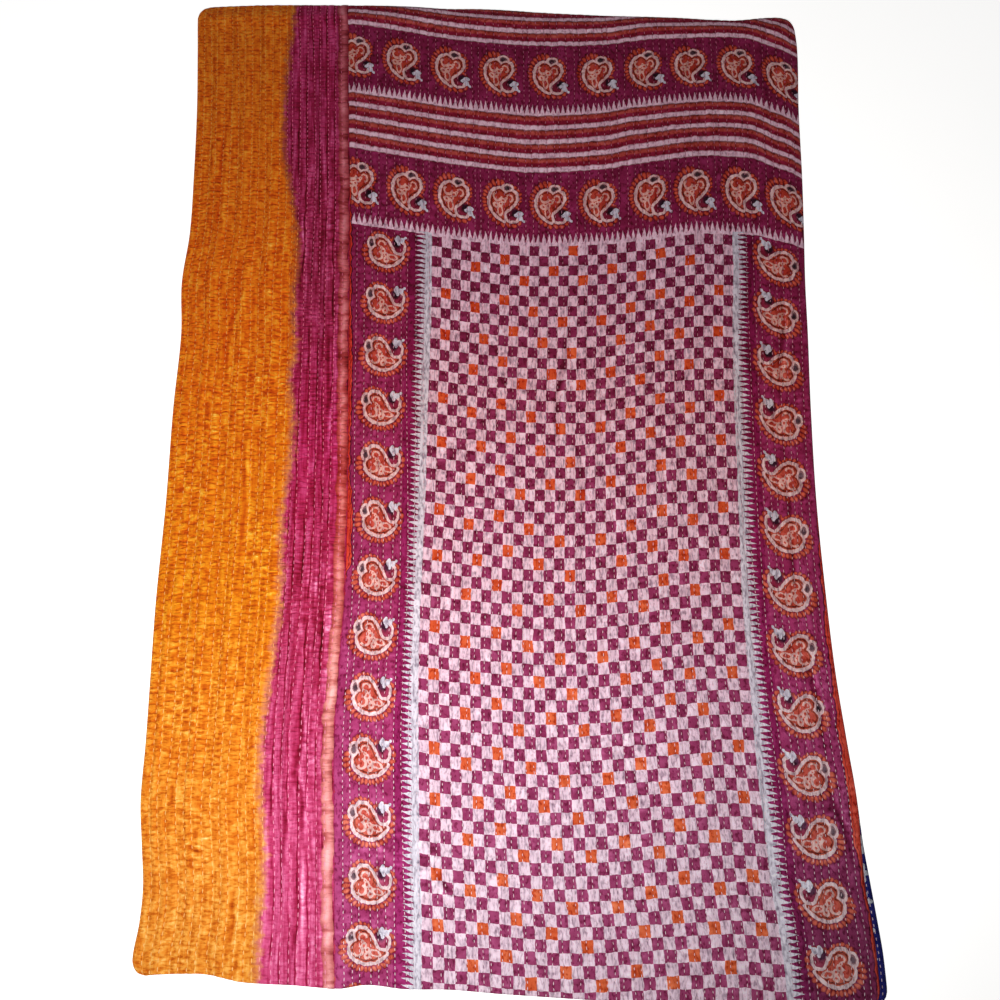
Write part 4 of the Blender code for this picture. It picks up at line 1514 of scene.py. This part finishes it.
def backing_cotton(colours):
    """Blue cotton with a small white flower, the back of the running stitches showing as short dashes."""
    material, tree, shader = new_material("backing_cotton", 0.88)
    sewn = add(tree, "UVMap", uv_map="sewn")
    object_place = add(tree, "TexCoord").node.outputs["Object"]
    pitch = (FLOWER_PITCH, FLOWER_PITCH, 1.0)
    cell = add(tree, "VectorMath", object_place, pitch, operation="DIVIDE")
    cell = add(tree, "VectorMath", cell, operation="FRACTION")
    cell = add(tree, "VectorMath", cell, (0.5, 0.5, 0.0), operation="SUBTRACT")
    flat = add(tree, "SeparateXYZ", cell)
    turn = add(tree, "Math", flat.node.outputs["Y"], flat, operation="ARCTAN2")
    flat_cell = add(tree, "CombineXYZ", flat, flat.node.outputs["Y"], 0.0)
    out = add(tree, "VectorMath", flat_cell, operation="LENGTH")
    lobes = add(tree, "Math", turn, FLOWER_LOBES, operation="MULTIPLY")
    lobes = add(tree, "Math", lobes, operation="COSINE")
    rim = add(tree, "Math", lobes, 0.09, 0.26, operation="MULTIPLY_ADD")
    flower = add(tree, "Math", out, rim, operation="LESS_THAN")
    ring = add(tree, "Math", out, 0.09, operation="GREATER_THAN")
    flower = add(tree, "Math", flower, ring, operation="MULTIPLY")
    result = add(tree, "Mix", flower, colour(colours.blue), colour("#DDE0EC"))
    rows = add(tree, "SeparateXYZ", sewn)
    on_row = add(tree, "Math", rows, operation="FRACT")
    on_row = add(tree, "Math", on_row, 0.5, 0.045, operation="COMPARE")
    dash = add(tree, "Math", rows.node.outputs["Y"], 1 / DASH_PITCH, operation="MULTIPLY")
    dash = add(tree, "Math", dash, operation="FRACT")
    dash = add(tree, "Math", dash, DASH_SHARE, operation="LESS_THAN")
    dash = add(tree, "Math", dash, on_row, operation="MULTIPLY")
    result = add(tree, "Mix", dash, result, colour(colours.thread))
    # Painted shade in the small puckers, which also make the bump.
    nicks = blotch(tree, sewn, 2.2, 90.0, 1.0, 0.5, 0.7, 0.0, 1.0)
    shade = add(tree, "Math", nicks, -1.0, operation="MULTIPLY")
    bump = yarn_bump(tree, sewn, nicks, 0.0008)
    tree.links.new(shaded(tree, result, shade, 0.2, 0.25), shader.inputs["Base Color"])
    tree.links.new(bump, shader.inputs["Normal"])
    return material


def cotton_thread(colours, name, on_dyes):
    """Doubled white cotton thread, a little fuzzy: matt, with a faint twist, stained by the cloth's dye."""
    material, tree, shader = new_material(name, 0.8)
    sewn = add(tree, "UVMap", uv_map="sewn")
    from_foot = add(tree, "SeparateXYZ", sewn).node.outputs["Y"]
    share = share_up(tree, from_foot)
    object_place = add(tree, "TexCoord").node.outputs["Object"]
    twist = add(tree, "TexNoise", object_place, 1600.0, 1.0, 0.5)
    twist = add(tree, "MapRange", twist, 0.3, 0.7, 0.85, 1.0)
    stain = [(0.3, colour(colours.thread)), (0.6, colour("#EDB8CE")), (0.85, colour("#E9A0BC"))]
    result = add(tree, "ValToRGB", share, stops=stain)
    if on_dyes:
        past_line = add(tree, "SeparateXYZ", add(tree, "UVMap", uv_map="dye")).node.outputs["Y"]
        on_orange = add(tree, "MapRange", past_line, -0.004, 0.004, 0.0, 1.0)
        result = add(tree, "Mix", on_orange, colour("#FC9CC0"), colour("#FFC678"))
    # Deeper toward the head like the print: partly dye, partly painted shade.
    result = deepened(tree, result, from_foot)
    result = add(tree, "Mix", 1.0, result, twist, blend_type="MULTIPLY")
    tree.links.new(result, shader.inputs["Base Color"])
    return material


def floor_paint(colours):
    """Matt pale studio floor, painted: no gloss, and a faint mottle too weak to draw the eye."""
    material, tree, shader = new_material("painted_floor", 0.95)
    object_place = add(tree, "TexCoord").node.outputs["Object"]
    mottle = add(tree, "TexNoise", object_place, 3.0, 2.0, 0.5)
    mottle = add(tree, "MapRange", mottle, 0.3, 0.7, 0.98, 1.0)
    floor = colour(colours.floor)
    result = add(tree, "Mix", 1.0, floor, mottle, blend_type="MULTIPLY")
    tree.links.new(result, shader.inputs["Base Color"])
    shader.inputs["Emission Color"].default_value = colour("#FFFFFF")
    shader.inputs["Emission Strength"].default_value = FLOOR_GLOW
    return material


# ---------------------------------------------------------------------------------------------
# Operators
# ---------------------------------------------------------------------------------------------


class QUILT_OT_backing(bpy.types.Operator):
    """Lay the blue backing on the floor"""

    bl_idname = "quilt.backing"
    bl_label = "Backing"

    def execute(self, context):
        colours = context.scene.quilt_colours
        piece = finish_piece(make_backing(), "backing", backing_cotton(colours))
        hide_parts("backing_cloth")
        return {"FINISHED"}


class QUILT_OT_print(bpy.types.Operator):
    """Lay the printed sari on the backing, with its stitches"""

    bl_idname = "quilt.print"
    bl_label = "Printed sari"

    def execute(self, context):
        sewing, colours = context.scene.quilt_sewing, context.scene.quilt_colours
        piece = finish_piece(make_print(sewing), "print", printed_cotton(colours))
        thread = cotton_thread(colours, "cotton_thread", False)
        stitches = finish_piece(make_stitches(sewing, "print"), "print_stitches", thread)
        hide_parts("printed_cloth")
        return {"FINISHED"}


class QUILT_OT_side(bpy.types.Operator):
    """Lay the dyed strip on the left, with its stitches"""

    bl_idname = "quilt.side"
    bl_label = "Dyed strip"

    def execute(self, context):
        sewing, colours = context.scene.quilt_sewing, context.scene.quilt_colours
        piece = finish_piece(make_side(sewing), "side", dyed_cotton(colours))
        thread = cotton_thread(colours, "stained_cotton_thread", True)
        stitches = finish_piece(make_stitches(sewing, "side"), "side_stitches", thread)
        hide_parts("side_cloth")
        return {"FINISHED"}


class QUILT_OT_stage(bpy.types.Operator):
    """Set up the floor, the light and the camera"""

    bl_idname = "quilt.stage"
    bl_label = "Stage"

    def execute(self, context):
        scene = context.scene
        bm = bmesh.new()
        bmesh.ops.create_grid(bm, x_segments=FLOOR_CELLS, y_segments=FLOOR_CELLS, size=FLOOR_REACH)
        mesh = bpy.data.meshes.new("floor")
        bm.to_mesh(mesh)
        bm.free()
        mesh.materials.append(floor_paint(scene.quilt_colours))
        floor = bpy.data.objects.new("floor", mesh)
        scene.collection.objects.link(floor)

        world = bpy.data.worlds.new("studio")
        scene.world = world
        world.use_nodes = True
        background = world.node_tree.nodes["Background"]
        background.inputs["Color"].default_value = FILL_TINT
        background.inputs["Strength"].default_value = scene.quilt_light.fill

        lamp = bpy.data.lights.new("key", "AREA")
        lamp.shape = "DISK"
        lamp.size = KEY_SIZE
        lamp.energy = scene.quilt_light.key_power
        lamp.color = KEY_TINT
        key = bpy.data.objects.new("key", lamp)
        key.location = KEY_PLACE
        aim = Vector(KEY_AIM) - key.location
        key.rotation_euler = aim.to_track_quat("-Z", "Y").to_euler()
        scene.collection.objects.link(key)

        lens = bpy.data.cameras.new("camera")
        lens.sensor_width = SENSOR
        lens.lens = LENS
        camera = bpy.data.objects.new("camera", lens)
        camera.location = CAMERA_PLACE
        camera.rotation_euler = (math.radians(CAMERA_TILT), 0.0, 0.0)
        scene.collection.objects.link(camera)
        scene.camera = camera
        scene.view_settings.view_transform = "Standard"
        return {"FINISHED"}


class QUILT_PT_pieces(bpy.types.Panel):
    """The quilt's pieces and settings"""

    bl_label = "Kantha Quilt"
    bl_space_type = "VIEW_3D"
    bl_region_type = "UI"
    bl_category = "Quilt"

    def draw(self, context):
        for operator in OPERATORS:
            self.layout.operator(operator.bl_idname)
        for group in (context.scene.quilt_sewing, context.scene.quilt_colours, context.scene.quilt_light):
            box = self.layout.box()
            for name in group.bl_rna.properties.keys():
                if name not in ("rna_type", "name"):
                    box.prop(group, name)


OPERATORS = (QUILT_OT_stage, QUILT_OT_backing, QUILT_OT_print, QUILT_OT_side)
CLASSES = (QuiltSewing, QuiltColours, QuiltLight, *OPERATORS, QUILT_PT_pieces)


def register():
    for item in CLASSES:
        bpy.utils.register_class(item)
    bpy.types.Scene.quilt_sewing = bpy.props.PointerProperty(type=QuiltSewing)
    bpy.types.Scene.quilt_colours = bpy.props.PointerProperty(type=QuiltColours)
    bpy.types.Scene.quilt_light = bpy.props.PointerProperty(type=QuiltLight)


def unregister():
    del bpy.types.Scene.quilt_light
    del bpy.types.Scene.quilt_colours
    del bpy.types.Scene.quilt_sewing
    for item in reversed(CLASSES):
        bpy.utils.unregister_class(item)


def main():
    register()
    bpy.ops.quilt.stage()
    bpy.ops.quilt.backing()
    bpy.ops.quilt.print()
    bpy.ops.quilt.side()


if __name__ == "__main__":
    main()
